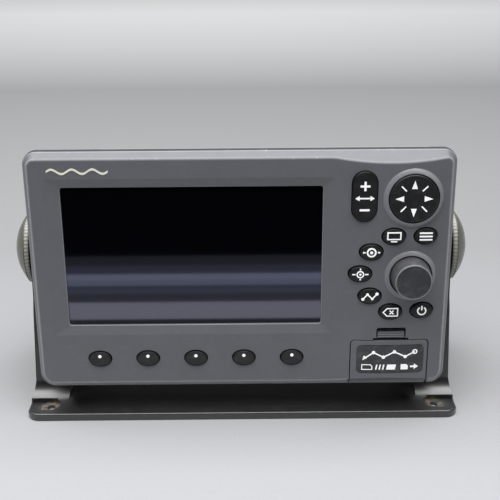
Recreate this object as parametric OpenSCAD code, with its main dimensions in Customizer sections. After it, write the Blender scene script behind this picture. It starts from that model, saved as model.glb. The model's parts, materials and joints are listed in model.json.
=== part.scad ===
// Marine chartplotter display: a tilting head with a wide screen, keys, cursor pad and rotary knob,
// carried between the two arms of a table bracket and clamped by a hand knob on each side.
// Origin: centre of the four mounting holes, on the underside of the bracket. +X right as seen by the
// user, +Y away from the user, +Z up. The head is drawn in its own frame: x right, y back from the
// face, z up along the face, with its origin at the centre of the face.

/* [Head] */
// Width of the flat face between its side edges
face_w = 252.2; // [240:0.1:260]
// Height of the flat face between its top and bottom edges
face_h = 145.6; // [140:0.1:150]
// Width of the front shell behind its chamfer
case_w = 258; // [250:0.5:264]
// Height of the front shell behind its chamfer
case_h = 154; // [150:0.5:158]
// Depth of the chamfer round the face
chamfer_d = 4.3; // [3:0.1:6]
// Depth of the front shell
bezel_d = 8.5; // [8:0.1:9]
// Depth of the whole head
head_d = 84; // [80:1:90]
// How far the raised right part of the face stands proud
bulge_h = 2.8; // [1:0.1:4]
// Where the raised part is highest, from the centre of the face
bulge_x = 90.5; // [85:0.5:95]
// Radius of the raised part
bulge_r = 210; // [180:1:260]
// Backward lean of the face in the rest position
lean = 6; // [0:0.5:12]

/* [Screen] */
// Width of the screen opening
screen_w = 157; // [150:0.5:160]
// Height of the screen opening
screen_h = 89; // [84:0.5:92]
// Centre of the screen, from the centre of the face
screen_x = -29; // [-32:0.5:-26]
// Height of the screen's centre above the centre of the face
screen_z = 10.8; // [8:0.1:13]

/* [Keys] */
// Width of an oval key
key_w = 14.2; // [13:0.1:15]
// Height of an oval key
key_h = 10; // [9:0.1:11]
// Gap between a key and its hole
key_gap = 0.5; // [0.4:0.1:0.7]
// How far a key stands out of the face
key_proud = 1.2; // [0.8:0.1:1.6]
// Left-most soft key, from the centre of the face
soft_x = -89.5; // [-92:0.5:-88]
// Spacing of the soft keys
soft_step = 30.25; // [29:0.25:31]
// Height of the soft keys, from the centre of the face
soft_z = -56; // [-57:0.5:-55]

/* [Cursor pad and knob] */
// Radius of the cursor pad
pad_r = 14.75; // [14:0.05:15]
// Radius of the rotary knob at its foot
knob_r = 12.6; // [12:0.1:12.7]
// Radius of the rotary knob's front
knob_front_r = 11; // [10:0.1:12]
// How far the rotary knob stands in front of the face plane
knob_reach = 15; // [13:0.5:17]

/* [Card door] */
// Left edge of the card door
door_x0 = 68.5; // [68:0.1:70]
// Right edge of the card door
door_x1 = 116.9; // [116:0.1:118]
// Top edge of the card door
door_top = -44.2; // [-45:0.1:-44]

/* [Bracket] */
// Width of the bracket
bracket_w = 278; // [274:1:282]
// Depth of the base plate
plate_depth = 128; // [120:1:132]
// Thickness of the base plate
plate_t = 5; // [4.5:0.5:6]
// Width between the two arms
arm_gap = 228.6; // [228:0.2:230]
// Thickness of an arm at its rounded top
arm_t = 20.7; // [19:0.1:22]
// Radius of the rounded top of an arm
hub_r = 22; // [18:0.5:23]
// Spacing of the mounting holes across the bracket
hole_dx = 250; // [246:1:252]
// Spacing of the mounting holes from front to back
hole_dy = 105; // [100:1:110]
// Diameter of a mounting hole
hole_d = 5; // [4:0.5:5.5]
// Height of the tilt axis above the underside
axis_h = 94.3; // [92:0.1:97]

/* [Clamp knobs] */
// Radius of a clamp knob
clamp_r = 23.5; // [22:0.5:25]
// Distance from the middle of the bracket to a clamp knob's outer end
clamp_end = 148; // [147:0.5:150]
// Number of grip ribs on a clamp knob
rib_count = 60; // [40:1:72]
// Radius of the clamp stud
stud_r = 3.95; // [3.9:0.01:3.95]

/* [Hidden] */
$fn = 64;

wall = 2.6;              // thickness of the case walls
face_t = 3;              // thickness of the face behind its flat front
axis_y = 50;             // depth of the tilt axis behind the face
axis_rise = 2.3;         // height of the tilt axis above the middle of the face
cover_y = 9.7;           // where the rear cover starts
flange_y = 13;           // back of the rear cover's full-width flange
shoulder_y = 17;         // where the cover becomes narrow enough to pass between the arms
flange = [case_w - 3, case_h - 2];
shoulder = [224, 148];   // the cover's width and height there
back_size = [216, 118];  // the cover's width and height at its back
pad_at = [103, 48.3];    // centre of the cursor pad
knob_at = [103.4, -0.7]; // centre of the rotary knob
range_at = [73.9, 49.5]; // centre of the range key
range_w = 15.1;          // width of the range key
range_l = 31;            // length of the range key
pad_hole_r = pad_r + 0.5;
knob_hole_r = 13.05;
pin_at = [4.1, -72.5];   // door hinge pin: y and z in the head's frame
pin_r = 1.25;
barrel_r = 4;            // round foot of the door, about its pin
arm_in = arm_gap / 2;
arm_out = arm_in + arm_t;
boss_end = arm_in - 1.8; // outer end of the cover's pivot boss
washer_end = arm_in - 0.3;
thrust_t = 0.8;          // thickness of a thrust washer
clamp_foot = arm_out + thrust_t;
rib_band = 3.1;          // width of the ribbed band of a clamp knob
flange_gap = 0.2;        // gap between a key's flange and the back of the face
mat_y = 5.6;             // front of the rubber mats
board_y = 6.6;           // front of the key boards
board_t = 1.6;

label_at = [93.4, -56.9]; // centre of the door's label
label_w = 42;
label_h = 19.4;
label_sink = 0.2;        // how far the label lies below the door's surface
connector_z = -24;

// Rear connectors: x and body radius of each, power, data, sensor and antenna
connectors = [[-72, 10], [-26, 10], [24, 12], [68, 6]];
// Oval keys round the rotary knob: x and z of each centre
key_places = [
    [92.2, 24.7], [111.5, 24.6], [79, 14.8], [72.7, 0.6], [79, -13.8], [92.1, -24.2], [111.5, -23.8]
];
// Case screws: x and z of each
screw_places = [[-121.5, 64], [-121.5, 14], [-121.5, -58], [121.5, 64], [121.5, 14], [121.5, -38]];

case_grey = [0.36, 0.37, 0.39];
key_black = [0.09, 0.09, 0.1];
board_green = [0.1, 0.35, 0.2];
steel = [0.7, 0.7, 0.72];
olive = [0.55, 0.56, 0.47];

// Depth in front of the face plane of the raised part at x
function bulge(x) = max(0, bulge_h - pow(x - bulge_x, 2) / (2 * bulge_r));

// Points of an ellipse of the given width and height
function oval(w, h) = [for (i = [0:35]) [w / 2 * cos(10 * i), h / 2 * sin(10 * i)]];

// Points along an arc about c, from angle a0 to a1
function arc(c, r, a0, a1, n) = [
    for (i = [0:n]) c + r * [cos(a0 + (a1 - a0) * i / n), sin(a0 + (a1 - a0) * i / n)]
];

// Puts what is drawn in the head's frame into the part's frame
module head() {
    translate([0, 0, axis_h])
        rotate([-lean, 0, 0])
            translate([0, -axis_y, -axis_rise])
                children();
}

// Extrudes an outline drawn in x and z from y0 back to y1
module slab(y0, y1) {
    translate([0, y1, 0])
        rotate([90, 0, 0])
            linear_extrude(y1 - y0)
                children();
}

// Turns a profile of [radius, y] points about an axis along y through [x, z]
module turned(at, points) {
    translate([at[0], 0, at[1]])
        rotate([-90, 0, 0])
            rotate_extrude()
                polygon(points);
}

// Round bar along y through [x, z]
module bar(at, r, y0, y1) {
    translate([at[0], y0, at[1]])
        rotate([-90, 0, 0])
            cylinder(r = r, h = y1 - y0);
}

// Round bar along x at depth y and height z
module cross_bar(y, z, r, x0, x1) {
    translate([x0, y, z])
        rotate([0, 90, 0])
            cylinder(r = r, h = x1 - x0);
}

// Box from its lowest to its highest corner
module block(low, high) {
    translate(low)
        cube(high - low);
}

// Rectangle with rounded corners, centred
module rounded(w, h, r) {
    square([w - 2 * r, h], center = true);
    square([w, h - 2 * r], center = true);
    for (sx = [-1, 1], sz = [-1, 1])
        translate([sx * (w / 2 - r), sz * (h / 2 - r)])
            circle(r);
}

// Upright bar with round ends, centred
module stadium(w, l) {
    square([w, l - w], center = true);
    for (s = [-1, 1])
        translate([0, s * (l - w) / 2])
            circle(w / 2);
}

// Solid joining two outlines of rounded rectangles at y0 and y1
module loft(y0, size0, y1, size1, r) {
    skin = 0.01;
    hull() {
        slab(y0, y0 + skin) rounded(size0[0], size0[1], r, $fn = 32);
        slab(y1 - skin, y1) rounded(size1[0], size1[1], r, $fn = 32);
    }
}

// Everything behind the front surface of the face, raised part included, moved forward by lift
module behind_face(lift = 0) {
    block([-200, -lift, -120], [200, 40, 120]);
    intersection() {
        translate([bulge_x, bulge_r - bulge_h, -120])
            cylinder(r = bulge_r + lift, h = 240, $fn = 360);
        block([bulge_x - 50, -20, -120], [bulge_x + 50, 40, 120]);
    }
}

// Outer form of the front shell, with its chamfer carried forward past the raised part
module bezel_form() {
    ahead = 4;
    grow = (chamfer_d + ahead) / chamfer_d;
    small = [case_w - (case_w - face_w) * grow, case_h - (case_h - face_h) * grow];
    intersection() {
        union() {
            loft(-ahead, small, chamfer_d, [case_w, case_h], 6);
            slab(chamfer_d - 0.01, bezel_d) rounded(case_w, case_h, 6);
        }
        behind_face();
    }
}

// Raised ring round a hole in the face
module face_ring(at, hole_r, outer_r, top_y) {
    turned(at, [[hole_r - 1, 1], [hole_r - 1, top_y], [hole_r + 0.5, top_y], [outer_r, -0.6], [outer_r, 1]]);
}

module front_bezel() {
    bay_wall = 1.2;
    ring_y = -4.1;
    color(case_grey)
        head()
            difference() {
                union() {
                    difference() {
                        bezel_form();
                        slab(face_t, bezel_d + 1) rounded(case_w - 2 * wall, case_h - 2 * wall, 5);
                    }
                    for (p = screw_places)
                        bar(p, 3.8, face_t - 0.5, bezel_d);
                    face_ring(pad_at, pad_hole_r, pad_hole_r + 3, ring_y);
                    face_ring(knob_at, knob_hole_r, knob_hole_r + 2.9, ring_y + 0.3);
                    block([door_x0 - 1.6, face_t - 0.5, -68.8], [door_x1 + 1.6, flange_y, door_top + 1.7]);
                    block([84, face_t - 0.5, door_top + 1.5], [103, 6, -34]);
                }
                screen_cut();
                for (p = key_places)
                    translate([p[0], 0, p[1]])
                        slab(-6, face_t + 1) polygon(oval(key_w + 2 * key_gap, key_h + 2 * key_gap));
                for (i = [0:4])
                    translate([soft_x + i * soft_step, 0, soft_z])
                        slab(-6, face_t + 1) polygon(oval(key_w + 2 * key_gap, key_h + 2 * key_gap));
                translate([range_at[0], 0, range_at[1]])
                    slab(-6, face_t + 1) stadium(range_w + 0.6, range_l + 0.6);
                bar(pad_at, pad_hole_r, -6, face_t + 1);
                bar(knob_at, knob_hole_r, -6, face_t + 1);
                for (p = screw_places)
                    bar(p, 2, 4, bezel_d + 1);
                door_cut(bay_wall);
                latch_cut();
                cross_bar(pin_at[0], pin_at[1], pin_r, door_x0 - 2.3, door_x1 + 2.3);
            }
}

// Screen opening with sloping sides
module screen_cut() {
    bevel_left = 9.5;
    bevel_right = 7.5;
    bevel_top = 5.6;
    bevel_foot = 6;
    translate([screen_x, 0, screen_z]) {
        slab(-1, face_t + 1) rounded(screen_w, screen_h, 1.5);
        hull() {
            slab(-0.1, 0) translate([(bevel_right - bevel_left) / 2, (bevel_top - bevel_foot) / 2])
                square(
                    [screen_w + bevel_left + bevel_right, screen_h + bevel_top + bevel_foot], center = true
                );
            slab(1.6, 1.61) square([screen_w, screen_h], center = true);
        }
    }
}

// Opening for the card door, the bay behind it and the round foot of the door
module door_cut(bay_wall) {
    gap = 0.4;
    block([door_x0 - gap, -8, -90], [door_x1 + gap, face_t + 0.4, door_top + 0.3]);
    block([door_x0 - gap, 2, -90], [door_x1 + gap, bezel_d + 1, pin_at[1] + barrel_r + 0.4]);
    block([door_x0 - 1.6 + bay_wall, 2, -67.6], [door_x1 + 1.6 - bay_wall, flange_y + 1, door_top + 0.3]);
}

// Recess for the latch, its slot above the door and the window that its tongue moves in
module latch_cut() {
    translate([93.3, 0, -38.8])
        slab(-6, 2.2) rounded(18.4, 7.2, 1.5);
    block([82.2, -6, door_top + 0.2], [104.4, 2.2, door_top + 2]);
    block([87.6, 1, door_top], [98.6, 7, -35.8]);
}

// A key's cap with a flange behind the face, which holds it in
module key(at, cap, flange) {
    front = -bulge(at[0]) - key_proud;
    translate([at[0], 0, at[1]]) {
        slab(front, face_t + flange_gap + 0.5) polygon(oval(cap[0], cap[1]));
        slab(face_t + flange_gap, face_t + flange_gap + 1) polygon(oval(flange[0], flange[1]));
    }
}

module soft_key(i) {
    color(key_black)
        head()
            key([soft_x + i * soft_step, soft_z], [key_w, key_h], [key_w + 3, key_h + 3]);
}

module oval_key(i) {
    color(key_black)
        head()
            key(key_places[i], [key_w, key_h], [key_w + 3, key_h + 3]);
}

module range_key() {
    color(key_black)
        head()
            translate([range_at[0], 0, range_at[1]]) {
                slab(-bulge(range_at[0]) - key_proud, 4.7) stadium(range_w, range_l);
                slab(4.2, 5.2) stadium(range_w + 2, range_l + 2);
            }
}

module cursor_pad() {
    ball_y = 1;
    color(key_black)
        head()
            difference() {
                turned(pad_at, [
                    [0, -3.9], [4, -3.9], [10, -4.3], [13.2, -4.6], [pad_r - 0.4, -4.2], [pad_r, -3.6],
                    [pad_r, 4.4], [pad_r + 1.2, 4.4], [pad_r + 1.2, 5.2], [pad_r - 1.5, 5.2],
                    [pad_r - 1.5, 1.5], [6, 1.5], [6, 3.2], [0, 3.2]
                ]);
                translate([pad_at[0], ball_y, pad_at[1]])
                    sphere(r = 2.9);
                bar(pad_at, 2.9, ball_y, 4);
            }
}

module cursor_pivot() {
    color(steel)
        head()
            translate([pad_at[0], 1, pad_at[1]])
                sphere(r = 2.6);
}

module rotary_knob() {
    edge = 1.6;
    color(case_grey)
        head()
            difference() {
                turned(knob_at, concat(
                    [[0, 0.5], [knob_r - 0.2, 0.5], [knob_r, 0.2]],
                    arc([knob_front_r - edge, edge - knob_reach], edge, 5, -90, 6),
                    [[0, 0.3 - knob_reach]]
                ));
                bar(knob_at, 3.02, -9, 1);
            }
}

module encoder_shaft() {
    color(steel)
        head()
            bar(knob_at, 3, -9, 13.2);
}

module encoder_sleeve() {
    color("dimgray")
        head()
            difference() {
                bar(knob_at, 4.5, 6.5, 13.5);
                bar(knob_at, 3.06, 6, 14);
            }
}

module encoder_body() {
    half = 7;
    back = 16.3;
    color([0.2, 0.3, 0.45])
        head()
            difference() {
                block(
                    [knob_at[0] - half, board_y + board_t, knob_at[1] - half],
                    [knob_at[0] + half, back, knob_at[1] + half]
                );
                bar(knob_at, 4.57, 8, back - 1.5);
            }
}

module screen_window() {
    color([0.02, 0.02, 0.03])
        head()
            translate([screen_x, 0, screen_z])
                slab(face_t, face_t + 2) rounded(screen_w + 8, screen_h + 8, 2);
}

module window_gasket() {
    color([0.1, 0.1, 0.1])
        head()
            translate([screen_x, 0, screen_z])
                slab(face_t + 2, face_t + 3)
                    difference() {
                        rounded(screen_w + 8, screen_h + 8, 2);
                        rounded(screen_w + 2, screen_h + 2, 1);
                    }
}

module lcd_frame() {
    color(steel)
        head()
            translate([screen_x, 0, screen_z])
                difference() {
                    slab(6, 13) square([screen_w + 10, screen_h + 12], center = true);
                    slab(6.6, 14) square([screen_w + 8.6, screen_h + 10.6], center = true);
                    slab(5, 7) square([screen_w - 1, screen_h - 1], center = true);
                }
}

module lcd_panel() {
    color([0.05, 0.06, 0.08])
        head()
            translate([screen_x, 0, screen_z])
                slab(6.6, 8) square([screen_w + 8, screen_h + 10], center = true);
}

module backlight() {
    color([0.9, 0.9, 0.88])
        head()
            translate([screen_x, 0, screen_z])
                slab(8, 12.8) square([screen_w + 8, screen_h + 10], center = true);
}

module softkey_mat() {
    color([0.15, 0.15, 0.15])
        head()
            block([-102, mat_y, -66], [44, board_y, -46]);
}

module softkey_board() {
    color(board_green)
        head() {
            block([-104, board_y, -67], [46, board_y + board_t, -45]);
            block([-20, board_y + board_t, -62], [-2, board_y + board_t + 4, -56]);
        }
}

module keypad_mat() {
    color([0.15, 0.15, 0.15])
        head()
            difference() {
                block([63, mat_y, -32], [117, board_y, 69]);
                bar(pad_at, pad_r + 3, mat_y - 1, board_y + 1);
                bar(knob_at, 8, mat_y - 1, board_y + 1);
                translate([range_at[0], 0, range_at[1]])
                    slab(mat_y - 1, board_y + 1) stadium(range_w + 4, range_l + 3.6);
            }
}

module keypad_board() {
    color(board_green)
        head() {
            difference() {
                block([62, board_y, -33], [117, board_y + board_t, 70]);
                bar(knob_at, 5.2, board_y - 1, board_y + board_t + 1);
            }
            bar(pad_at, 1.6, 4, board_y);
            block([66, board_y + board_t, 20], [84, board_y + board_t + 2, 38]);
        }
}

module chassis_plate() {
    plate_y = 17.5;
    color([0.75, 0.76, 0.78])
        head()
            difference() {
                union() {
                    block([-106, plate_y, -60], [66, plate_y + 1.2, 66]);
                    block([66, plate_y, -36], [96, plate_y + 1.2, 66]);
                    for (x = [-96, 40], z = [-40, 62])
                        bar([x, z], 3, 13, plate_y);
                }
                for (x = [-70, -30, 10])
                    bar([x, 0], 9, plate_y - 1, plate_y + 2);
            }
}

module main_board() {
    y = 24;
    color(board_green)
        head() {
            block([-100, y, -52], [62, y + board_t, 58]);
            for (x = [-90, 50], z = [-46, 52])
                bar([x, z], 2.5, 18.7, y);
            block([-60, y + board_t, 0], [-32, y + board_t + 2.4, 28]);
            block([-10, y + board_t, 6], [12, y + board_t + 2, 28]);
            block([24, y + board_t, -40], [44, y + board_t + 5, -30]);
            block([-80, y + board_t, -44], [-50, y + board_t + 6, -34]);
        }
}

module power_board() {
    y = 46;
    color([0.45, 0.35, 0.15])
        head() {
            block([-88, y, -34], [-8, y + board_t, 40]);
            for (x = [-82, -14], z = [-28, 34])
                bar([x, z], 2.5, 31, y);
            for (x = [-70, -56, -42])
                bar([x, 24], 5, y + board_t, y + 16);
            block([-66, y + board_t, -24], [-38, y + 12, 2]);
        }
}

// Card socket: a box with a slot in its front
module card_socket(x, z, w, h, y1, mouth) {
    difference() {
        block([x - w / 2, flange_y, z - h / 2], [x + w / 2, y1, z + h / 2]);
        block(
            [x - mouth[0] / 2, flange_y - 1, z - mouth[1] / 2],
            [x + mouth[0] / 2, y1 - 2, z + mouth[1] / 2]
        );
    }
}

module chart_card_slot() {
    color([0.12, 0.12, 0.13])
        head()
            card_socket(88.8, -51.5, 38.2, 9, 40, [35.4, 5.4]);
}

module memory_card_slot() {
    color([0.6, 0.6, 0.6])
        head()
            card_socket(90, -61.5, 29, 6, 38, [25, 3]);
}

module latch_spring() {
    color(steel)
        head()
            translate([93.3, 3.4, -37.9])
                difference() {
                    cylinder(r = 1.2, h = 2);
                    translate([0, 0, -1])
                        cylinder(r = 0.8, h = 4);
                }
}

module door_latch() {
    color(case_grey)
        head() {
            difference() {
                block([85, -2.4, -42], [101.6, 1.9, -38.2]);
                for (z = [-40.9, -39.5])
                    cross_bar(-2.7, z, 0.6, 84, 103);
            }
            block([88.2, 1.5, -43.6], [98, 4.8, -38.2]);
            block([88.2, 2.9, -46], [98, 4.8, -43.5]);
        }
}

module card_door() {
    back = 2.4;
    color(case_grey)
        head()
            difference() {
                union() {
                    intersection() {
                        behind_face();
                        slab(-6, back)
                            translate([(door_x0 + door_x1) / 2, 0])
                                difference() {
                                    translate([0, (door_top + pin_at[1]) / 2])
                                        square([door_x1 - door_x0, door_top - pin_at[1]], center = true);
                                    door_corners();
                                }
                    }
                    cross_bar(pin_at[0], pin_at[1], barrel_r, door_x0, door_x1);
                }
                cross_bar(pin_at[0], pin_at[1], pin_r + 0.05, door_x0 - 1, door_x1 + 1);
                intersection() {
                    slab(-6, 5)
                        translate([label_at[0], label_at[1]])
                            rounded(label_w + 0.4, label_h + 0.4, 3.2);
                    difference() {
                        block([60, -10, -90], [130, 3, -30]);
                        behind_face(-label_sink - 0.4);
                    }
                }
            }
}

// What the door's rounded top corners leave out
module door_corners() {
    r = 2.5;
    half = (door_x1 - door_x0) / 2;
    for (s = [-1, 1])
        difference() {
            translate([s * half, door_top])
                square(2 * r, center = true);
            translate([s * (half - r), door_top - r])
                circle(r);
        }
}

module door_label() {
    color([0.13, 0.13, 0.14])
        head()
            intersection() {
                slab(-6, 5)
                    translate([label_at[0], label_at[1]])
                        rounded(label_w, label_h, 3);
                difference() {
                    behind_face(-label_sink);
                    behind_face(-label_sink - 0.4);
                }
            }
}

module door_gasket() {
    color([0.08, 0.08, 0.08])
        head()
            slab(2.4, 3.4)
                translate([(door_x0 + door_x1) / 2, -55.5])
                    difference() {
                        rounded(44.6, 17, 2);
                        rounded(41.6, 14, 1);
                    }
}

module door_hinge_pin() {
    color(steel)
        head()
            cross_bar(pin_at[0], pin_at[1], pin_r, door_x0 - 1.6, door_x1 + 1.6);
}

// Small raised wave line at the top left of the face
module front_badge() {
    length = 36.4;
    swing = 1.35;
    line = 1.3;
    top = [for (i = [0:48]) [i * length / 48 - length / 2, line / 2 + swing * sin(i * 22.5)]];
    foot = [for (i = [48:-1:0]) [i * length / 48 - length / 2, -line / 2 + swing * sin(i * 22.5)]];
    color([0.85, 0.85, 0.8])
        head()
            translate([-96, 0, 65.5])
                slab(-0.25, 0) polygon(concat(top, foot));
}

// Outer form of the rear cover
module cover_form() {
    slab(cover_y, flange_y) rounded(flange[0], flange[1], 6);
    loft(flange_y - 0.01, flange, shoulder_y, shoulder, 6);
    loft(shoulder_y - 0.01, shoulder, head_d, back_size, 6);
}

module rear_cover() {
    t = 2.5;
    thin = [2 * t, 2 * t];
    color([0.62, 0.62, 0.6])
        head()
            difference() {
                union() {
                    difference() {
                        cover_form();
                        slab(cover_y - 1, flange_y) rounded(flange[0] - 2 * t, flange[1] - 2 * t, 4);
                        loft(flange_y - 0.02, flange - thin, shoulder_y, shoulder - thin, 4);
                        loft(shoulder_y - 0.02, shoulder - thin, head_d - t, back_size - thin, 4);
                    }
                    for (s = [-1, 1])
                        cross_bar(axis_y, axis_rise, 15, s > 0 ? 98 : -boss_end, s > 0 ? boss_end : -98);
                    block([-85, flange_y, 72], [115, shoulder_y, 75.4]);
                    for (p = screw_places)
                        bar(p, 5, cover_y, flange_y + 2);
                    for (x = [-96:8:96])
                        block([x - 1, head_d - 1, 4], [x + 1, head_d + 1.5, 54]);
                }
                for (p = screw_places) {
                    bar(p, 2.1, cover_y - 1, flange_y + 1);
                    bar(p, 3.7, 12.5, shoulder_y);
                }
                for (s = [-1, 1])
                    cross_bar(axis_y, axis_rise, 6.05, s > 0 ? 90 : -120, s > 0 ? 120 : -90);
                for (c = connectors)
                    bar([c[0], connector_z], c[1] + 0.05, head_d - 8, head_d + 3);
                bar([94, connector_z], 2.05, head_d - 8, head_d + 3);
            }
}

module case_gasket() {
    color([0.06, 0.06, 0.06])
        head()
            slab(bezel_d, cover_y)
                difference() {
                    rounded(case_w - 5, case_h - 4, 5);
                    rounded(case_w - 9, case_h - 8, 4);
                    for (p = screw_places)
                        translate(p)
                            circle(5.1);
                }
}

module case_screws() {
    color(steel)
        head()
            for (p = screw_places) {
                bar(p, 1.95, 4.5, 13);
                difference() {
                    bar(p, 3.4, 12.5, 15);
                    bar(p, 1.2, 13.6, 16);
                }
            }
}

// Round socket in the back of the case: body with a collar outside and a flange inside
module socket(i, depth, collar) {
    x = connectors[i][0];
    r = connectors[i][1];
    at = [x, connector_z];
    difference() {
        union() {
            bar(at, r, head_d - 6, head_d + depth);
            bar(at, r + 2, head_d - 5, head_d - 2.5);
            bar(at, r + collar, head_d, head_d + 3);
        }
        bar(at, r - 2, head_d + 1, head_d + depth + 1);
    }
}

module power_connector() {
    color([0.1, 0.1, 0.1])
        head()
            socket(0, 13, 2.5);
}

module data_connector() {
    color([0.1, 0.1, 0.1])
        head()
            socket(1, 13, 2.5);
}

module sensor_connector() {
    color([0.1, 0.1, 0.1])
        head()
            socket(2, 14, 2.5);
}

module antenna_connector() {
    color([0.8, 0.7, 0.4])
        head()
            socket(3, 12, 2);
}

module ground_terminal() {
    at = [94, connector_z];
    color([0.8, 0.7, 0.4])
        head() {
            bar(at, 2, head_d - 6, head_d + 10);
            for (y = [head_d, head_d + 6])
                translate([at[0], y, at[1]])
                    rotate([-90, 0, 0])
                        cylinder(r = 4, h = 2.5, $fn = 6);
        }
}

// Threaded insert in the side of the rear cover; side is 1 on the right and -1 on the left
module insert(side) {
    color([0.78, 0.62, 0.3])
        head()
            mirror([side < 0 ? 1 : 0, 0, 0])
                difference() {
                    cross_bar(axis_y, axis_rise, 6, 97.5, boss_end);
                    cross_bar(axis_y, axis_rise, 4, 90, 120);
                }
}

module tilt_washer(side) {
    color([0.07, 0.07, 0.07])
        head()
            mirror([side < 0 ? 1 : 0, 0, 0])
                difference() {
                    cross_bar(axis_y, axis_rise, 14.5, boss_end, washer_end);
                    cross_bar(axis_y, axis_rise, 4.6, 90, 120);
                }
}

// Front edge of an arm as [y, z] points, drawn in by inset
function arm_half(inset, slope = 10.36) = concat(
    arc([-48.7, plate_t + 12], 12 + inset, -84, -slope, 8),
    [[-(hub_r - inset) * cos(slope), axis_h + (hub_r - inset) * sin(slope)]]
);

// Side outline of an arm
module arm_outline(inset) {
    front = arm_half(inset);
    back = [for (i = [len(front) - 1:-1:0]) [-front[i][0], front[i][1]]];
    polygon(concat([[-36, plate_t - 1]], front, back, [[36, plate_t - 1]]));
    translate([0, axis_h])
        circle(hub_r - inset);
}

// Right arm, hollow inside; its outer face slopes in from the plate's edge and stands upright round the hub
module arm() {
    rim = 4;
    pocket_t = 16;
    upright_z = 70;
    intersection() {
        translate([arm_in, 0, 0])
            rotate([90, 0, 90])
                difference() {
                    linear_extrude(bracket_w / 2 - arm_in)
                        arm_outline(0);
                    translate([0, 0, -1])
                        linear_extrude(pocket_t + 1)
                            intersection() {
                                arm_outline(rim);
                                translate([-50, plate_t + rim])
                                    square([100, 66]);
                            }
                }
        translate([0, 60, 0])
            rotate([90, 0, 0])
                linear_extrude(120)
                    polygon([
                        [arm_in, 0], [bracket_w / 2, 0], [bracket_w / 2, plate_t],
                        [arm_out + 2.8, 7.8], [arm_out + 1.9, 13], [arm_out + 0.6, 60],
                        [arm_out, upright_z], [arm_out, 130], [arm_in, 130]
                    ]);
    }
}

module bracket() {
    corner_r = 8;
    pocket_r = 6.4;
    pocket_d = 2.6;
    color([0.11, 0.11, 0.12])
        difference() {
            union() {
                linear_extrude(plate_t)
                    rounded(bracket_w, plate_depth, corner_r);
                arm();
                mirror([1, 0, 0])
                    arm();
            }
            for (sx = [-1, 1], sy = [-1, 1])
                translate([sx * hole_dx / 2, sy * hole_dy / 2, 0]) {
                    translate([0, 0, -1])
                        cylinder(d = hole_d, h = plate_t + 2);
                    translate([0, 0, plate_t - pocket_d]) {
                        cylinder(r = pocket_r, h = 10);
                        translate([sx > 0 ? 0 : -20, -pocket_r, 0])
                            cube([20, 2 * pocket_r, 10]);
                    }
                }
            for (s = [-1, 1])
                cross_bar(0, axis_h, 4.5, s > 0 ? 100 : -150, s > 0 ? 150 : -100);
        }
}

module thrust_washer(side) {
    color(steel)
        mirror([side < 0 ? 1 : 0, 0, 0])
            difference() {
                cross_bar(0, axis_h, 10, arm_out, clamp_foot);
                cross_bar(0, axis_h, stud_r + 0.05, 120, 150);
            }
}

// Hand knob: ribbed band next to the bracket and a smooth dome outside it
module clamp_knob(side) {
    band_end = clamp_foot + rib_band;
    sag = clamp_end - band_end;
    dome_r = (pow(clamp_r, 2) + pow(sag, 2)) / (2 * sag);
    half_angle = asin(clamp_r / dome_r);
    rib_h = 0.7;
    teeth = [for (i = [0:2 * rib_count - 1])
        (clamp_r - 0.1 - (i % 2) * rib_h) * [cos(i * 180 / rib_count), sin(i * 180 / rib_count)]];
    color(olive)
        mirror([side < 0 ? 1 : 0, 0, 0])
            translate([0, 0, axis_h])
                rotate([0, 90, 0])
                    difference() {
                        union() {
                            translate([0, 0, clamp_foot])
                                linear_extrude(rib_band + 0.1)
                                    polygon(teeth);
                            rotate_extrude()
                                polygon(concat(
                                    [[0, band_end]],
                                    arc([0, clamp_end - dome_r], dome_r, 90 - half_angle, 90, 8)
                                ));
                        }
                        translate([0, 0, clamp_foot - 1])
                            cylinder(r = stud_r + 0.02, h = 6);
                    }
}

module clamp_stud(side) {
    color(steel)
        mirror([side < 0 ? 1 : 0, 0, 0])
            cross_bar(0, axis_h, stud_r, 100, clamp_foot + 4.5);
}

bracket();
front_bezel();
rear_cover();
case_gasket();
case_screws();
screen_window();
window_gasket();
lcd_frame();
lcd_panel();
backlight();
softkey_board();
keypad_board();
softkey_mat();
keypad_mat();
chassis_plate();
main_board();
power_board();
chart_card_slot();
memory_card_slot();
power_connector();
data_connector();
sensor_connector();
antenna_connector();
ground_terminal();
insert(-1);  // insert_left
insert(1);  // insert_right
tilt_washer(-1);  // tilt_washer_left
tilt_washer(1);  // tilt_washer_right
encoder_body();
front_badge();
door_hinge_pin();
card_door();
door_label();
door_gasket();
door_latch();
latch_spring();
soft_key(0);  // soft_key_1
soft_key(1);  // soft_key_2
soft_key(2);  // soft_key_3
soft_key(3);  // soft_key_4
soft_key(4);  // soft_key_5
oval_key(0);  // key_display
oval_key(1);  // key_menu
oval_key(2);  // key_marker
oval_key(3);  // key_goto
oval_key(4);  // key_route
oval_key(5);  // key_clear
oval_key(6);  // key_power
range_key();
cursor_pivot();
cursor_pad();
encoder_sleeve();
encoder_shaft();
rotary_knob();
thrust_washer(-1);  // thrust_washer_left
thrust_washer(1);  // thrust_washer_right
clamp_knob(-1);  // clamp_knob_left
clamp_knob(1);  // clamp_knob_right
clamp_stud(-1);  // clamp_stud_left
clamp_stud(1);  // clamp_stud_right
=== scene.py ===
import json
import math

import bmesh
import bpy
import numpy as np
from mathutils import Matrix, Vector
from mathutils.geometry import delaunay_2d_cdt


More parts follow.
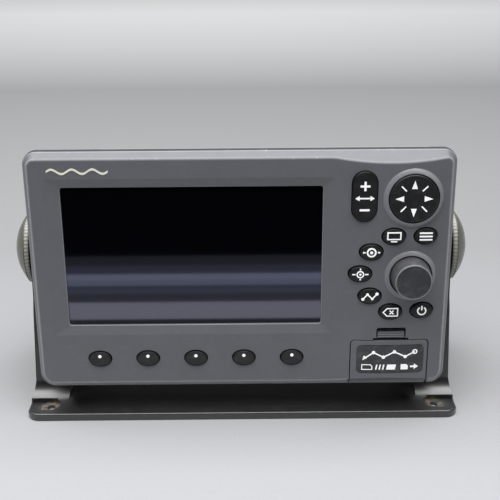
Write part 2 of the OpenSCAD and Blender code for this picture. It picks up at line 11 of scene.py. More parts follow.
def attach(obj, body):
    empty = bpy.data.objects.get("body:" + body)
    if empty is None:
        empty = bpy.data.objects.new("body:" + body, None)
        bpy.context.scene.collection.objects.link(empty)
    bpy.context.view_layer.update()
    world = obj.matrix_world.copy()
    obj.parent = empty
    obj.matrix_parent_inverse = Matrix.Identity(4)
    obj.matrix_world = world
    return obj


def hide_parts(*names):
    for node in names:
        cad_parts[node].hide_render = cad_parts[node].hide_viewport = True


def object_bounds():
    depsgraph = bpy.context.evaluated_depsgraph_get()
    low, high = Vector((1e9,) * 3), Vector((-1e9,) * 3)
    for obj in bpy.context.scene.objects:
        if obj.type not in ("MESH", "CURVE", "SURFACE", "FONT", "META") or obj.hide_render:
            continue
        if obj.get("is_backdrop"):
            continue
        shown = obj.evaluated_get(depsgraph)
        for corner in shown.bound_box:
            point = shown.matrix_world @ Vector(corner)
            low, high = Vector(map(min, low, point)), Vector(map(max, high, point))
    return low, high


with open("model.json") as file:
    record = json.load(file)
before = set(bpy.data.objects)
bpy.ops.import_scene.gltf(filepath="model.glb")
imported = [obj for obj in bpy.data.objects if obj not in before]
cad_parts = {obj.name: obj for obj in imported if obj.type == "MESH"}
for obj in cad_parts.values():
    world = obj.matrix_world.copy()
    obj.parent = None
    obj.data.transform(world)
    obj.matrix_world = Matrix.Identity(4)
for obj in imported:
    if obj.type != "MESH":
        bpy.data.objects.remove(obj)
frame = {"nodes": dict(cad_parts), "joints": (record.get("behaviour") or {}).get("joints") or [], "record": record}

cad_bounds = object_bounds()
MM = 0.001
TAU = 2 * math.pi
joints = {j["name"]: j for j in frame["joints"]}


# ---------------------------------------------------------------- the head's own frame
# x right, y back from the face, z up along the face, in millimetres from the face's centre.
RIGHT = Vector((1, 0, 0))
BACK = Vector(joints["soft_key_1_press"]["axis"]).normalized()
UP = RIGHT.cross(BACK)
PIVOT = Vector(joints["head_tilt"]["pos_m"])
WINDOW_DEPTH = 3      # the window's front lies this far behind the face
WINDOW_LAP = 4        # the window runs this far under the face all round


def frame_at(origin):
    """Matrix from the head's millimetres to the row frame's metres."""
    turn = Matrix((RIGHT, BACK, UP)).transposed().to_4x4()
    return Matrix.Translation(origin) @ turn @ Matrix.Scale(MM, 4)


def local_box(node, matrix):
    """Lowest and highest corner of a CAD node in the given frame, in millimetres."""
    inverse = matrix.inverted()
    points = np.array([inverse @ v.co for v in frame["nodes"][node].data.vertices])
    return points.min(0), points.max(0)


AXIS_DEPTH = WINDOW_DEPTH - local_box("screen_window", frame_at(PIVOT))[0][1]
AXIS_RISE = -sum(corner[2] for corner in local_box("front_bezel", frame_at(PIVOT))) / 2
HEAD = frame_at(PIVOT - (BACK * AXIS_DEPTH + UP * AXIS_RISE) * MM)
BASE = Matrix.Scale(MM, 4)


def head_box(node):
    return local_box(node, HEAD)


def head_centre(node):
    low, high = head_box(node)
    return (low[0] + high[0]) / 2, (low[2] + high[2]) / 2


# ---------------------------------------------------------------- sizes read from the frame or set here
bezel_low, bezel_high = head_box("front_bezel")
CASE_W = bezel_high[0] - bezel_low[0]
CASE_H = bezel_high[2] - bezel_low[2]
CASE_CORNER = 8.5
WALL = 2.6                                    # thickness of the shell's side
FACE_T = 3                                    # depth of the face's back
CHAMFER_D = 4.3                               # depth at which the chamfer meets the side
BEZEL_D = 8.5                                 # depth of the side's back edge
FACE_W, FACE_H = CASE_W - 5.8, CASE_H - 8.4   # the face inside the chamfer
CORNER_TOP, CORNER_FOOT = 4.5, 7.0            # the face's corner radii
FOOT_SLOPE = (CASE_H - FACE_H) / 2 / CHAMFER_D
BULGE_H, BULGE_X, BULGE_R = 2.8, 90.5, 210    # the face's raised right part: height, middle and radius
SOFT_KEYS = [f"soft_key_{i}" for i in range(1, 6)]
OVAL_KEYS = ["key_display", "key_menu", "key_marker", "key_goto", "key_route", "key_clear", "key_power"]
KEY_SIZE, KEY_GAP = (14.2, 10.0), 0.5
KEY_PROUD, KEY_CROWN = 1.2, 0.3               # a key's rim in front of the face, and its middle before that
window_low, window_high = head_box("screen_window")
OPENING = (window_low[0] + WINDOW_LAP, window_high[0] - WINDOW_LAP,
           window_low[2] + WINDOW_LAP, window_high[2] - WINDOW_LAP)
PAD_AT = head_centre("cursor_pad")
KNOB_AT = head_centre("rotary_knob")
RANGE_AT = head_centre("range_key")
RANGE_W, RANGE_L = 15.1, 31.0
PAD_RING, KNOB_RING = (15.25, 18.2, -4.1), (13.05, 15.9, -3.8)   # hole radius, outer radius, front's depth
door_low, door_high = head_box("card_door")
DOOR_X0, DOOR_X1, DOOR_TOP = door_low[0], door_high[0], -44.2
PIN_Y, PIN_Z = 4.1, -72.5                     # the door's hinge pin
BOUNCE_LIGHT_Z, BOUNCE_LIGHT = 3 - CASE_H / 2, 0.75       # below this height the chamfer gets this share of painted floor-bounce light
SHARP = 35                                    # smooth shading stops at edges over this angle


def bulge(x):
    """How far the raised right part of the face stands in front of the face plane."""
    return max(0.0, BULGE_H - (x - BULGE_X) ** 2 / (2 * BULGE_R))


def surface(x, z):
    """Depth of the face at a point."""
    return -bulge(x)


# ---------------------------------------------------------------- outlines: (x, z, normal x, normal z)
def circle(at, r, n):
    """Points (x, z) of a circle."""
    return [(at[0] + r * math.cos(TAU * i / n), at[1] + r * math.sin(TAU * i / n)) for i in range(n)]


def oval(at, w, h, n=72):
    """Ellipse of width w and height h."""
    points = []
    for i in range(n):
        a = TAU * i / n
        nx, nz = math.cos(a) / w, math.sin(a) / h
        k = math.hypot(nx, nz)
        points.append((at[0] + w / 2 * math.cos(a), at[1] + h / 2 * math.sin(a), nx / k, nz / k))
    return points


def stadium(at, w, l, n=24):
    """Upright slot shape of width w and length l."""
    points = []
    for side, start in ((1, 0), (-1, math.pi)):
        for i in range(n + 1):
            a = start + math.pi * i / n
            c, s = math.cos(a), math.sin(a)
            points.append((at[0] + w / 2 * c, at[1] + side * (l - w) / 2 + w / 2 * s, c, s))
    return points


def rounded(x0, x1, z0, z1, r, corner=8, along=1, r_foot=None):
    """Rounded rectangle, anticlockwise from the right side, with its straight sides cut into steps."""
    r_foot = r if r_foot is None else r_foot
    arcs = [(x1, z1, 0, r), (x0, z1, 90, r), (x0, z0, 180, r_foot), (x1, z0, 270, r_foot)]
    points = []
    for k, (cx, cz, start, radius) in enumerate(arcs):
        mx = cx - math.copysign(radius, cx - (x0 + x1) / 2)
        mz = cz - math.copysign(radius, cz - (z0 + z1) / 2)
        for i in range(corner + 1):
            a = math.radians(start + 90 * i / corner)
            points.append((mx + radius * math.cos(a), mz + radius * math.sin(a), math.cos(a), math.sin(a)))
        nxt = arcs[(k + 1) % 4]
        nx_m = nxt[0] - math.copysign(nxt[3], nxt[0] - (x0 + x1) / 2)
        nz_m = nxt[1] - math.copysign(nxt[3], nxt[1] - (z0 + z1) / 2)
        a = math.radians(start + 90)
        end = (nx_m + nxt[3] * math.cos(a), nz_m + nxt[3] * math.sin(a))
        begin = points[-1]
        for i in range(1, along):
            t = i / along
            x, z = begin[0] + (end[0] - begin[0]) * t, begin[1] + (end[1] - begin[1]) * t
            points.append((x, z, begin[2], begin[3]))
    return points


def grown(outline, off):
    """The outline moved out by off."""
    return [(x + nx * off, z + nz * off, nx, nz) for x, z, nx, nz in outline]


def ring_at(outline, off, depth):
    """Points of an outline moved out by off, at a depth that is a number or a function of x and z."""
    points = []
    for x, z, nx, nz in outline:
        px, pz = x + nx * off, z + nz * off
        points.append((px, depth(px, pz) if callable(depth) else depth, pz))
    return points


def inside(points, polygon):
    """Which 2-D points lie inside a closed polygon."""
    p = np.asarray(points, float)
    q = np.asarray(polygon, float)
    result = np.zeros(len(p), bool)
    for a, b in zip(q, np.roll(q, -1, 0)):
        crosses = (a[1] > p[:, 1]) != (b[1] > p[:, 1])
        with np.errstate(divide="ignore", invalid="ignore"):
            x = (b[0] - a[0]) * (p[:, 1] - a[1]) / (b[1] - a[1]) + a[0]
        result ^= crosses & (p[:, 0] < x)
    return result


# ---------------------------------------------------------------- mesh building
class Shape:
    """Rings of points and the faces between them, in millimetres."""

    def __init__(self):
        self.points = []
        self.faces = []
        self.wear_and_light = {}

    def ring(self, points, wear_and_light=0.0):
        start = len(self.points)
        self.points += [tuple(p) for p in points]
        indices = list(range(start, len(self.points)))
        if isinstance(wear_and_light, (int, float)):
            wear_and_light = [wear_and_light] * len(indices)
        self.wear_and_light.update(zip(indices, wear_and_light))
        return indices

    def bridge(self, a, b):
        n = len(a)
        for i in range(n):
            j = (i + 1) % n
            self.faces.append((a[i], a[j], b[j], b[i]))

    def stack(self, rings, wears=None):
        """Bridges a list of rings of points in order and returns the first and last ring's indices."""
        wears = wears or [0.0] * len(rings)
        made = [self.ring(r, w) for r, w in zip(rings, wears)]
        for a, b in zip(made, made[1:]):
            self.bridge(a, b)
        return made[0], made[-1]

    def solid(self, rings, wears=None):
        """Bridges a list of rings and closes both ends with one face each."""
        self.faces += [tuple(ring) for ring in self.stack(rings, wears)]

    def fan(self, ring, centre):
        middle = self.ring([centre])[0]
        n = len(ring)
        for i in range(n):
            self.faces.append((ring[i], ring[(i + 1) % n], middle))

    def sheet(self, outer, holes=(), depth=None, grid=None, clear=1.0):
        """Fills between an outer ring and hole rings, with extra points on a grid where it is curved."""
        flat = lambda ring: [(self.points[i][0], self.points[i][2]) for i in ring]
        used = list(outer)
        edges = []
        start = 0
        for ring in [outer, *holes]:
            n = len(ring)
            edges += [(start + i, start + (i + 1) % n) for i in range(n)]
            start += n
            if ring is not outer:
                used += ring
        coords = [Vector((self.points[i][0], self.points[i][2])) for i in used]
        if grid:
            extra = self.grid_points(flat(outer), [flat(h) for h in holes], grid, clear)
            used += self.ring([(x, depth(x, z), z) for x, z in extra])
            coords += [Vector(p) for p in extra]
        verts, _, faces, origin, _, _ = delaunay_2d_cdt(coords, edges, [], 1, 1e-6)
        centres = [tuple(sum((verts[i] for i in f), Vector((0, 0))) / len(f)) for f in faces]
        keep = inside(centres, flat(outer))
        for hole in holes:
            keep &= ~inside(centres, flat(hole))
        for f, ok in zip(faces, keep):
            if ok:
                self.faces.append(tuple(used[origin[i][0]] for i in f))

    def grid_points(self, outer, holes, grid, clear):
        x0, x1, step_x, step_z = grid
        zs = [p[1] for p in outer]
        xs = np.arange(x0, x1 + 0.01, step_x)
        columns = np.arange(min(zs), max(zs), step_z)
        points = [(float(x), float(z)) for x in xs for z in columns]
        keep = inside(points, outer)
        for hole in holes:
            keep &= ~inside(points, hole)
        p = np.array(points)
        for line in [outer, *holes]:
            q = np.array(line)
            near = np.sqrt(((p[:, None, :] - q[None, :, :]) ** 2).sum(2)).min(1)
            keep &= near > clear
        return [points[i] for i in np.nonzero(keep)[0]]

    def object(self, name, matrix, material, sharp=SHARP):
        """Makes the Blender object, with faces turned outwards and smooth shading between sharp edges."""
        mesh = bpy.data.meshes.new(name)
        mesh.from_pydata([matrix @ Vector(p) for p in self.points], [], self.faces)
        layer = mesh.attributes.new("wear_and_light", "FLOAT", "POINT")
        layer.data.foreach_set("value", [self.wear_and_light.get(i, 0.0) for i in range(len(self.points))])
        bm = bmesh.new()
        bm.from_mesh(mesh)
        bmesh.ops.remove_doubles(bm, verts=bm.verts, dist=1e-7)
        bmesh.ops.recalc_face_normals(bm, faces=bm.faces)
        bm.to_mesh(mesh)
        bm.free()
        return place(mesh, name, material, sharp)


def place(mesh, name, material, sharp=SHARP):
    obj = bpy.data.objects.new(name, mesh)
    bpy.context.scene.collection.objects.link(obj)
    mesh.shade_smooth()
    mesh.set_sharp_from_angle(angle=math.radians(sharp))
    mesh.materials.clear()
    mesh.materials.append(material)
    return obj


def quarter(n=5):
    """Steps of a quarter circle as (in-plane share, depth share), from flush with the face to the wall."""
    turns = [math.pi / 2 * i / (n - 1) for i in range(n)]
    return [(1 - math.sin(a), 1 - math.cos(a)) for a in turns]


def curve_between(p0, p1, p2, n=5):
    """Points of a quadratic curve that rounds the corner p1."""
    result = []
    for t in [i / (n - 1) for i in range(n)]:
        shares = (1 - t) ** 2, 2 * t * (1 - t), t * t
        result.append(tuple(shares[0] * a + shares[1] * b + shares[2] * c for a, b, c in zip(p0, p1, p2)))
    return result


def plate(name, outline, front, back, material, grid=None):
    """Closed solid between a front and a back surface inside an outline."""
    shape = Shape()
    first, last = shape.stack([ring_at(outline, 0, front), ring_at(outline, 0, back)])
    shape.sheet(first, (), front, grid)
    shape.sheet(last, (), back, grid)
    return shape.object(name, HEAD, material)


def turned(at, profile, wears=None, n=120):
    """Solid of revolution about an axis along y; the profile's (radius, y) points begin and end on it."""
    shape = Shape()
    first, last = shape.stack([[(x, y, z) for x, z in circle(at, r, n)] for r, y in profile[1:-1]], wears)
    shape.fan(first, (at[0], profile[0][1], at[1]))
    shape.fan(last, (at[0], profile[-1][1], at[1]))
    return shape


def prism(name, outline, y0, y1, material):
    """Straight solid between two depths inside an outline of (x, z) points."""
    shape = Shape()
    shape.solid([[(p[0], y, p[1]) for p in outline] for y in (y0, y1)])
    return shape.object(name, HEAD, material)


def solids(name, material, boxes=(), bars=(), rods=(), n=40, softness=0.0):
    """Boxes (low, high), bars along y (x, z, r, y0, y1) and rods along x (y, z, r, x0, x1) as one mesh."""
    shape = Shape()
    turn = circle((0, 0), 1, n)
    for low, high in boxes:
        corners = [(low[0], low[2]), (high[0], low[2]), (high[0], high[2]), (low[0], high[2])]
        shape.solid([[(x, y, z) for x, z in corners] for y in (low[1], high[1])])
    for x, z, r, y0, y1 in bars:
        shape.solid([[(x + r * c, y, z + r * s) for c, s in turn] for y in (y0, y1)])
    for y, z, r, x0, x1 in rods:
        shape.solid([[(x, y + r * c, z + r * s) for c, s in turn] for x in (x0, x1)])
    obj = shape.object(name, HEAD, material)
    return softened(obj, softness) if softness else obj


def combined(obj, others, operation):
    """Cuts other solids out of obj, or joins them to it, with the result applied to the mesh."""
    for other in others:
        modifier = obj.modifiers.new(operation, "BOOLEAN")
        modifier.operation = operation
        modifier.solver = "EXACT"
        modifier.object = other
        applied(obj)
        bpy.data.objects.remove(other)
    return obj


def cut(obj, *cutters):
    return combined(obj, cutters, "DIFFERENCE")


def join(obj, *others):
    return combined(obj, others, "UNION")


def softened(obj, width, segments=3, angle=30):
    """Rounds an object's edges by width millimetres: those over an angle, or the ones with a bevel weight."""
    obj.data.shade_smooth()
    modifier = obj.modifiers.new("edges", "BEVEL")
    modifier.width = width * MM
    modifier.segments = segments
    modifier.limit_method = "ANGLE" if angle else "WEIGHT"
    modifier.angle_limit = math.radians(angle or 30)
    modifier.use_clamp_overlap = bool(angle)
    modifier.harden_normals = True
    return applied(obj)


def applied(obj):
    """Replaces an object's mesh by what its modifiers make of it."""
    bpy.context.view_layer.update()
    evaluated = obj.evaluated_get(bpy.context.evaluated_depsgraph_get())
    mesh = bpy.data.meshes.new_from_object(evaluated)
    obj.modifiers.clear()
    obj.data = mesh
    if not mesh.has_custom_normals:
        mesh.shade_smooth()
        mesh.set_sharp_from_angle(angle=math.radians(SHARP))
    return obj


def piece(obj, body, slot, *nodes):
    """Attaches a finished piece to its body and hides the CAD nodes that it stands for; slot is not used."""
    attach(obj, body)
    if nodes:
        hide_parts(*nodes)


# ---------------------------------------------------------------- camera and finishes
camera = bpy.data.objects.new("camera", bpy.data.cameras.new("camera"))
bpy.context.scene.collection.objects.link(camera)
camera.data.lens = 64.8
camera.data.sensor_width = 36
camera.data.clip_start = 0.01
camera.location = (0.00354, -0.54278, 0.3448)
camera.rotation_euler = [math.radians(angle) for angle in (64.8856, 0.3481, -0.4032)]
bpy.context.scene.camera = camera
bpy.context.scene.view_settings.view_transform = "Standard"


def shade(*values):
    """Linear colour from one or three sRGB values of 0 to 255."""
    values = values * 3 if len(values) == 1 else values
    linear = [v / 255 / 12.92 if v / 255 <= 0.04045 else ((v / 255 + 0.055) / 1.055) ** 2.4 for v in values]
    return (*linear, 1)


class Nodes:
    """A material's node tree, with short ways to add and join nodes."""

    def __init__(self, name):
        self.material = bpy.data.materials.new(name)
        self.material.use_nodes = True
        self.tree = self.material.node_tree
        self.shader = self.tree.nodes["Principled BSDF"]
        self.place = self.add("ShaderNodeTexCoord").outputs["Object"]

    def add(self, kind, **settings):
        node = self.tree.nodes.new(kind)
        for key, value in settings.items():
            setattr(node, key, value)
        return node

    def join(self, source, target):
        self.tree.links.new(source, target)

    def noise(self, size, detail=3, roughness=0.5, stretch=None, seed=0):
        """Noise with features of about size metres, from 0 to 1."""
        node = self.add("ShaderNodeTexNoise", noise_dimensions="3D")
        node.inputs["Scale"].default_value = 1 / size
        node.inputs["Detail"].default_value = detail
        node.inputs["Roughness"].default_value = roughness
        source = self.place
        if stretch or seed:
            mapping = self.add("ShaderNodeMapping")
            mapping.inputs["Scale"].default_value = stretch or (1, 1, 1)
            mapping.inputs["Location"].default_value = (seed, seed * 2, seed * 3)
            self.join(source, mapping.inputs["Vector"])
            source = mapping.outputs["Vector"]
        self.join(source, node.inputs["Vector"])
        return node.outputs["Fac"]

    def range(self, value, low, high, to_low=0, to_high=1):
        node = self.add("ShaderNodeMapRange", clamp=True)
        for socket, number in zip(("From Min", "From Max", "To Min", "To Max"), (low, high, to_low, to_high)):
            node.inputs[socket].default_value = number
        self.join(value, node.inputs["Value"])
        return node.outputs["Result"]

    def maths(self, operation, a, b):
        node = self.add("ShaderNodeMath", operation=operation)
        for socket, value in zip(node.inputs, (a, b)):
            if isinstance(value, (int, float)):
                socket.default_value = value
            else:
                self.join(value, socket)
        return node.outputs[0]

    def round_holes(self):
        """Share of the dust that has settled round the four mounting holes."""
        split = self.add("ShaderNodeSeparateXYZ")
        self.join(self.place, split.inputs["Vector"])
        off = [self.maths("SUBTRACT", self.maths("ABSOLUTE", split.outputs[axis], 0), HOLES[i])
               for i, axis in enumerate("XY")]
        reach = self.maths("SQRT", self.maths("ADD", *[self.maths("MULTIPLY", o, o) for o in off]), 0)
        begins, full, fades, ends = DUST_RING
        ring = self.maths("MULTIPLY", self.range(reach, begins, full), self.range(reach, ends, fades))
        patchy = self.range(self.noise(0.003, 4, 0.6, seed=9), 0.38, 0.6)
        low = self.range(split.outputs["Z"], *DUST_TOP)
        return self.maths("MULTIPLY", self.maths("MULTIPLY", ring, patchy), low)

    def mix(self, share, a, b):
        node = self.add("ShaderNodeMix", data_type="RGBA")
        for socket, value in ((node.inputs["Factor"], share), (node.inputs["A"], a), (node.inputs["B"], b)):
            if isinstance(value, (int, float, tuple)):
                socket.default_value = value
            else:
                self.join(value, socket)
        return node.outputs["Result"]


def finish(name, colour, rough, vary=0.1, grain=0.0006, depth=0.00001, worn=None, edge=None, painted_edge_share=0.5,
           dust=None, dust_share=0.3, scratched=0.0, gloss_vary=0.07, settled=False, metal=0.0, specular=0.5,
           coat=0.0, coat_rough=0.1, coat_ior=1.5, tint=None, brushed=None, painted_glow=0.0):
    """Procedural finish: blotches that vary the colour by a share, grain of a size and depth in metres, worn
    edges, painted edge highlights and edge shade, dust, fine scratches and a painted glow."""
    nodes = Nodes(name)
    shader = nodes.shader
    low = (*[c * (1 - vary) for c in colour[:3]], 1)
    high = (*[min(1, c * (1 + vary)) for c in colour[:3]], 1)
    blotch = nodes.noise(0.02, 4, 0.6)
    fine = nodes.noise(grain, 2, 0.6, stretch=brushed)
    tone = nodes.mix(nodes.range(blotch, 0.3, 0.7), low, high)
    bright = (*[min(1, c * 1.25) for c in colour[:3]], 1)
    tone = nodes.mix(nodes.range(fine, 0.35, 0.75, 0, 0.35), tone, bright)
    gloss = nodes.range(nodes.noise(0.006, 3, 0.6, seed=2), 0.3, 0.7,
                        max(0.02, rough - gloss_vary), min(1, rough + gloss_vary))
    if dust:
        film = nodes.range(nodes.noise(0.004, 5, 0.65, seed=3), 0.5, 0.72, 0, dust_share)
        tone = nodes.mix(film, tone, dust)
    if settled:
        tone = nodes.mix(nodes.round_holes(), tone, shade(122, 106, 84))
    if scratched:
        line = nodes.noise(0.0007, 2, 0.5, stretch=(0.04, 1, 0.35), seed=5)
        where = nodes.range(nodes.noise(0.012, 3, 0.6, seed=7), 0.56, 0.66)
        mark = nodes.maths("MULTIPLY", nodes.range(line, 0.66, 0.72, 0, scratched), where)
        tone = nodes.mix(mark, tone, worn or high)
    # The wear attribute carries real wear and painted light: the edge tone paints highlights and gap shade along
    # edges, and the broken worn tone is wear.
    attribute = nodes.add("ShaderNodeAttribute", attribute_name="wear_and_light").outputs["Fac"]
    if edge:
        tone = nodes.mix(nodes.maths("MULTIPLY", attribute, painted_edge_share), tone, edge)
    if worn:
        broken = nodes.range(nodes.noise(0.004, 5, 0.75, seed=4), 0.6, 0.68)
        tone = nodes.mix(nodes.maths("MULTIPLY", attribute, broken), tone, worn)
    nodes.join(tone, shader.inputs["Base Color"])
    nodes.join(gloss, shader.inputs["Roughness"])
    bump = nodes.add("ShaderNodeBump")
    bump.inputs["Strength"].default_value = 0.6
    bump.inputs["Distance"].default_value = depth
    nodes.join(fine, bump.inputs["Height"])
    nodes.join(bump.outputs["Normal"], shader.inputs["Normal"])
    shader.inputs["Metallic"].default_value = metal
    shader.inputs["Specular IOR Level"].default_value = specular
    shader.inputs["Coat Weight"].default_value = coat
    shader.inputs["Coat Roughness"].default_value = coat_rough
    shader.inputs["Coat IOR"].default_value = coat_ior
    if tint:
        shader.inputs["Specular Tint"].default_value = tint
        shader.inputs["Coat Tint"].default_value = tint
    if painted_glow:
        shader.inputs["Emission Color"].default_value = colour
        shader.inputs["Emission Strength"].default_value = painted_glow
    return nodes.material


mounts = {m["name"]: m for m in frame["record"]["mounts"]}
HOLES = [mounts["base_bolts"]["dims"][f"spacing_{axis}_mm"] / 2 * MM for axis in "xy"]
DUST_RING = (0.0022, 0.0035, 0.0058, 0.0072)   # distances from a hole where its dust begins, is full and ends
DUST_TOP = (0.0042, 0.0036)                    # heights between which it sets in, below the plate's top
FINISHES = {
    "bracket_black": finish("bracket_plastic", shade(13, 13, 15), 0.42, 0.12, 0.0007, 0.000012,
                            worn=shade(120), coat=0.85, coat_rough=0.3, dust=shade(150, 146, 138),
                            dust_share=0.05, scratched=0.2, gloss_vary=0.03, specular=0.9, settled=True),
    # Its edge tone paints the highlight that the case's rounded edges catch; its broken worn tone is wear.
    "case_grey": finish("case_plastic", shade(97, 99, 104), 0.42, 0.04, 0.0006, 0.00001, worn=shade(185),
                        edge=shade(170, 170, 174), painted_edge_share=0.7, dust=shade(150), dust_share=0.04,
                        scratched=0.1, gloss_vary=0.03),
    "cover_grey": finish("cover_plastic", shade(160, 157, 148), 0.55, 0.05, 0.0007, 0.000012, worn=shade(205),
                         dust=shade(150, 146, 138), dust_share=0.12, scratched=0.1),
    "rubber_black": finish("black_rubber", shade(26), 0.75, 0.15, 0.0005, dust=shade(90), dust_share=0.12),
    "steel": finish("bright_steel", shade(196, 197, 200), 0.3, 0.06, 0.0003, 0.000004, metal=1,
                    brushed=(1, 1, 0.1)),
    "screen_black": finish("screen_glass", shade(7, 7, 9), 0.05, 0.2, 0.003, 0.0000002, specular=1.0,
                           gloss_vary=0.008, coat=1.0, coat_rough=0.04, coat_ior=1.7,
                           tint=shade(214, 220, 250)),
    "lcd_glass": finish("panel_glass", shade(24, 27, 34), 0.15, 0.1, 0.002, 0.000001),
    "diffuser_white": finish("diffuser_plastic", shade(228, 228, 224), 0.5, 0.04, 0.0005, 0.000006),
    "board_green": finish("green_board", shade(30, 96, 62), 0.35, 0.15, 0.0008, coat=0.4),
    "board_brown": finish("brown_board", shade(122, 98, 58), 0.45, 0.15, 0.0008),
    "chassis_aluminium": finish("plain_aluminium", shade(214, 216, 220), 0.38, 0.05, 0.0004, 0.000005,
                                metal=1, brushed=(0.08, 1, 1)),
    "connector_black": finish("connector_plastic", shade(34, 34, 36), 0.45, 0.12, 0.0005, dust=shade(120),
                              dust_share=0.06),
    "brass": finish("dull_brass", shade(196, 168, 104), 0.34, 0.1, 0.0004, 0.000005, metal=1,
                    brushed=(1, 1, 0.2)),
    "encoder_blue": finish("encoder_plastic", shade(58, 80, 122), 0.45, 0.1, 0.0005),
    "badge_cream": finish("cream_paint", shade(236, 233, 214), 0.55, 0.04, 0.0005, 0.000004, dust=shade(150),
                          dust_share=0.12),
    "label_dark": finish("label_film", shade(56, 57, 60), 0.55, 0.25, 0.0005, 0.00002, dust=shade(120),
                         dust_share=0.35),
    # Its edge tone paints a near-black rim on the caps: painted shade of the gap round each key.
    "key_black": finish("key_rubber", shade(24, 24, 27), 0.5, 0.12, 0.0005, edge=shade(5), painted_edge_share=0.9,
                        dust=shade(110), dust_share=0.1),
    # Its edge tone paints highlights on the clamp knobs' rib crests.
    "knob_olive": finish("olive_plastic", shade(86, 86, 76), 0.27, 0.08, 0.0008, edge=shade(196, 194, 182),
                         painted_edge_share=0.8, dust=shade(190), dust_share=0.06, scratched=0.2),
}
# The ink glows a little: painted light that lifts the printed white.
WHITE_INK = finish("white_ink", shade(250), 0.5, 0.02, 0.0004, 0.000003, painted_glow=0.22)
# Painted shade: the case's grey plastic made darker for the side behind the chamfer, where less light falls.
SHADED_CASE_SIDE = finish("shaded_case_side", shade(66, 67, 71), 0.6, 0.06, worn=shade(160), specular=0.25)
# Its edge tone paints a near-black rim: painted shade of the gap round each soft key.
SOFT_KEY_RUBBER = finish("soft_key_rubber", shade(34, 34, 37), 0.6, 0.12, 0.0005, edge=shade(6),
                         painted_edge_share=0.9, dust=shade(120), dust_share=0.1)
for part in frame["record"]["subparts"]:
    node = frame["nodes"][part["node"]]
    node.data.materials.clear()
    node.data.materials.append(FINISHES[part["material_slot"]])


# ---------------------------------------------------------------- floor, lights and reflected cards
def flat_plane(name, corners, material):
    """Flat stage piece inside its corners."""
    mesh = bpy.data.meshes.new(name)
    mesh.from_pydata(corners, [], [tuple(range(len(corners)))])
    obj = bpy.data.objects.new(name, mesh)
    bpy.context.scene.collection.objects.link(obj)
    mesh.materials.append(material)
    obj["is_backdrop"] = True
    return obj


def light(name, place_at, aim, size, watts):
    """Rectangular lamp that faces a point."""
    data = bpy.data.lights.new(name, "AREA")
    data.shape = "RECTANGLE"
    data.size, data.size_y = size
    data.energy = watts
    obj = bpy.data.objects.new(name, data)
    bpy.context.scene.collection.objects.link(obj)
    obj.location = place_at
    obj.rotation_euler = (Vector(aim) - Vector(place_at)).to_track_quat("-Z", "Y").to_euler()


def reflector(name, corners, colour):
    """Studio card that only shows in reflections, glowing in the given linear colour."""
    material = bpy.data.materials.new(name)
    material.use_nodes = True
    shader = material.node_tree.nodes["Principled BSDF"]
    shader.inputs["Base Color"].default_value = (0, 0, 0, 1)
    shader.inputs["Roughness"].default_value = 1
    shader.inputs["Specular IOR Level"].default_value = 0
    shader.inputs["Emission Color"].default_value = (*colour, 1)
    shader.inputs["Emission Strength"].default_value = 1
    obj = flat_plane(name, corners, material)
    obj.visible_camera = obj.visible_diffuse = obj.visible_shadow = obj.visible_transmission = False


def floor_paper():
    """Pale paper, painted lighter towards its front and its back: painted light where the lamps fall short."""
    nodes = Nodes("floor_paper")
    along = nodes.add("ShaderNodeSeparateXYZ")
    nodes.join(nodes.place, along.inputs["Vector"])
    far = nodes.range(along.outputs["Y"], *FLOOR_BACK)
    near = nodes.range(along.outputs["Y"], *FLOOR_FRONT)
    tone = nodes.mix(far, FLOOR_TONES[1], FLOOR_TONES[2])
    tone = nodes.mix(near, tone, FLOOR_TONES[0])
    tone = nodes.mix(nodes.range(nodes.noise(0.002), 0.3, 0.7, 0, 0.06), tone, shade(120))
    nodes.join(tone, nodes.shader.inputs["Base Color"])
    nodes.shader.inputs["Roughness"].default_value = 0.8
    nodes.shader.inputs["Specular IOR Level"].default_value = 0.2
    return nodes.material


# Painted light: the front and far tones are lighter to give the floor the brightness that the lamps leave short
# there.
FLOOR_TONES = shade(169, 170, 172), shade(152, 152, 154), shade(254, 254, 254)
FLOOR_FRONT, FLOOR_BACK = (0.2, -0.15), (0.75, 1.35)   # where the tone changes, as y in metres
flat_plane("floor", [(-5, -4, 0), (5, -4, 0), (5, 6, 0), (-5, 6, 0)], floor_paper())
light("key_light", (-0.1, -0.15, 1.5), (-0.1, -0.15, 0), (2.0, 1.4), 52)
light("fill_light", (-0.5, -1.5, 1.3), (0, 0, 0.1), (1.2, 0.8), 1)
world = bpy.data.worlds.new("world")
bpy.context.scene.world = world
world.use_nodes = True
world.node_tree.nodes["Background"].inputs["Color"].default_value = (0.94, 0.97, 1, 1)
world.node_tree.nodes["Background"].inputs["Strength"].default_value = 0.22
DARK_W, DARK_Y, DARK_H = 1.2, -0.491, 0.9    # half width, y and height of the black card in front
dark_corners = [(x, DARK_Y, z) for x, z in ((-DARK_W, 0), (DARK_W, 0), (DARK_W, DARK_H), (-DARK_W, DARK_H))]
reflector("dark_card", dark_corners, (0, 0, 0))
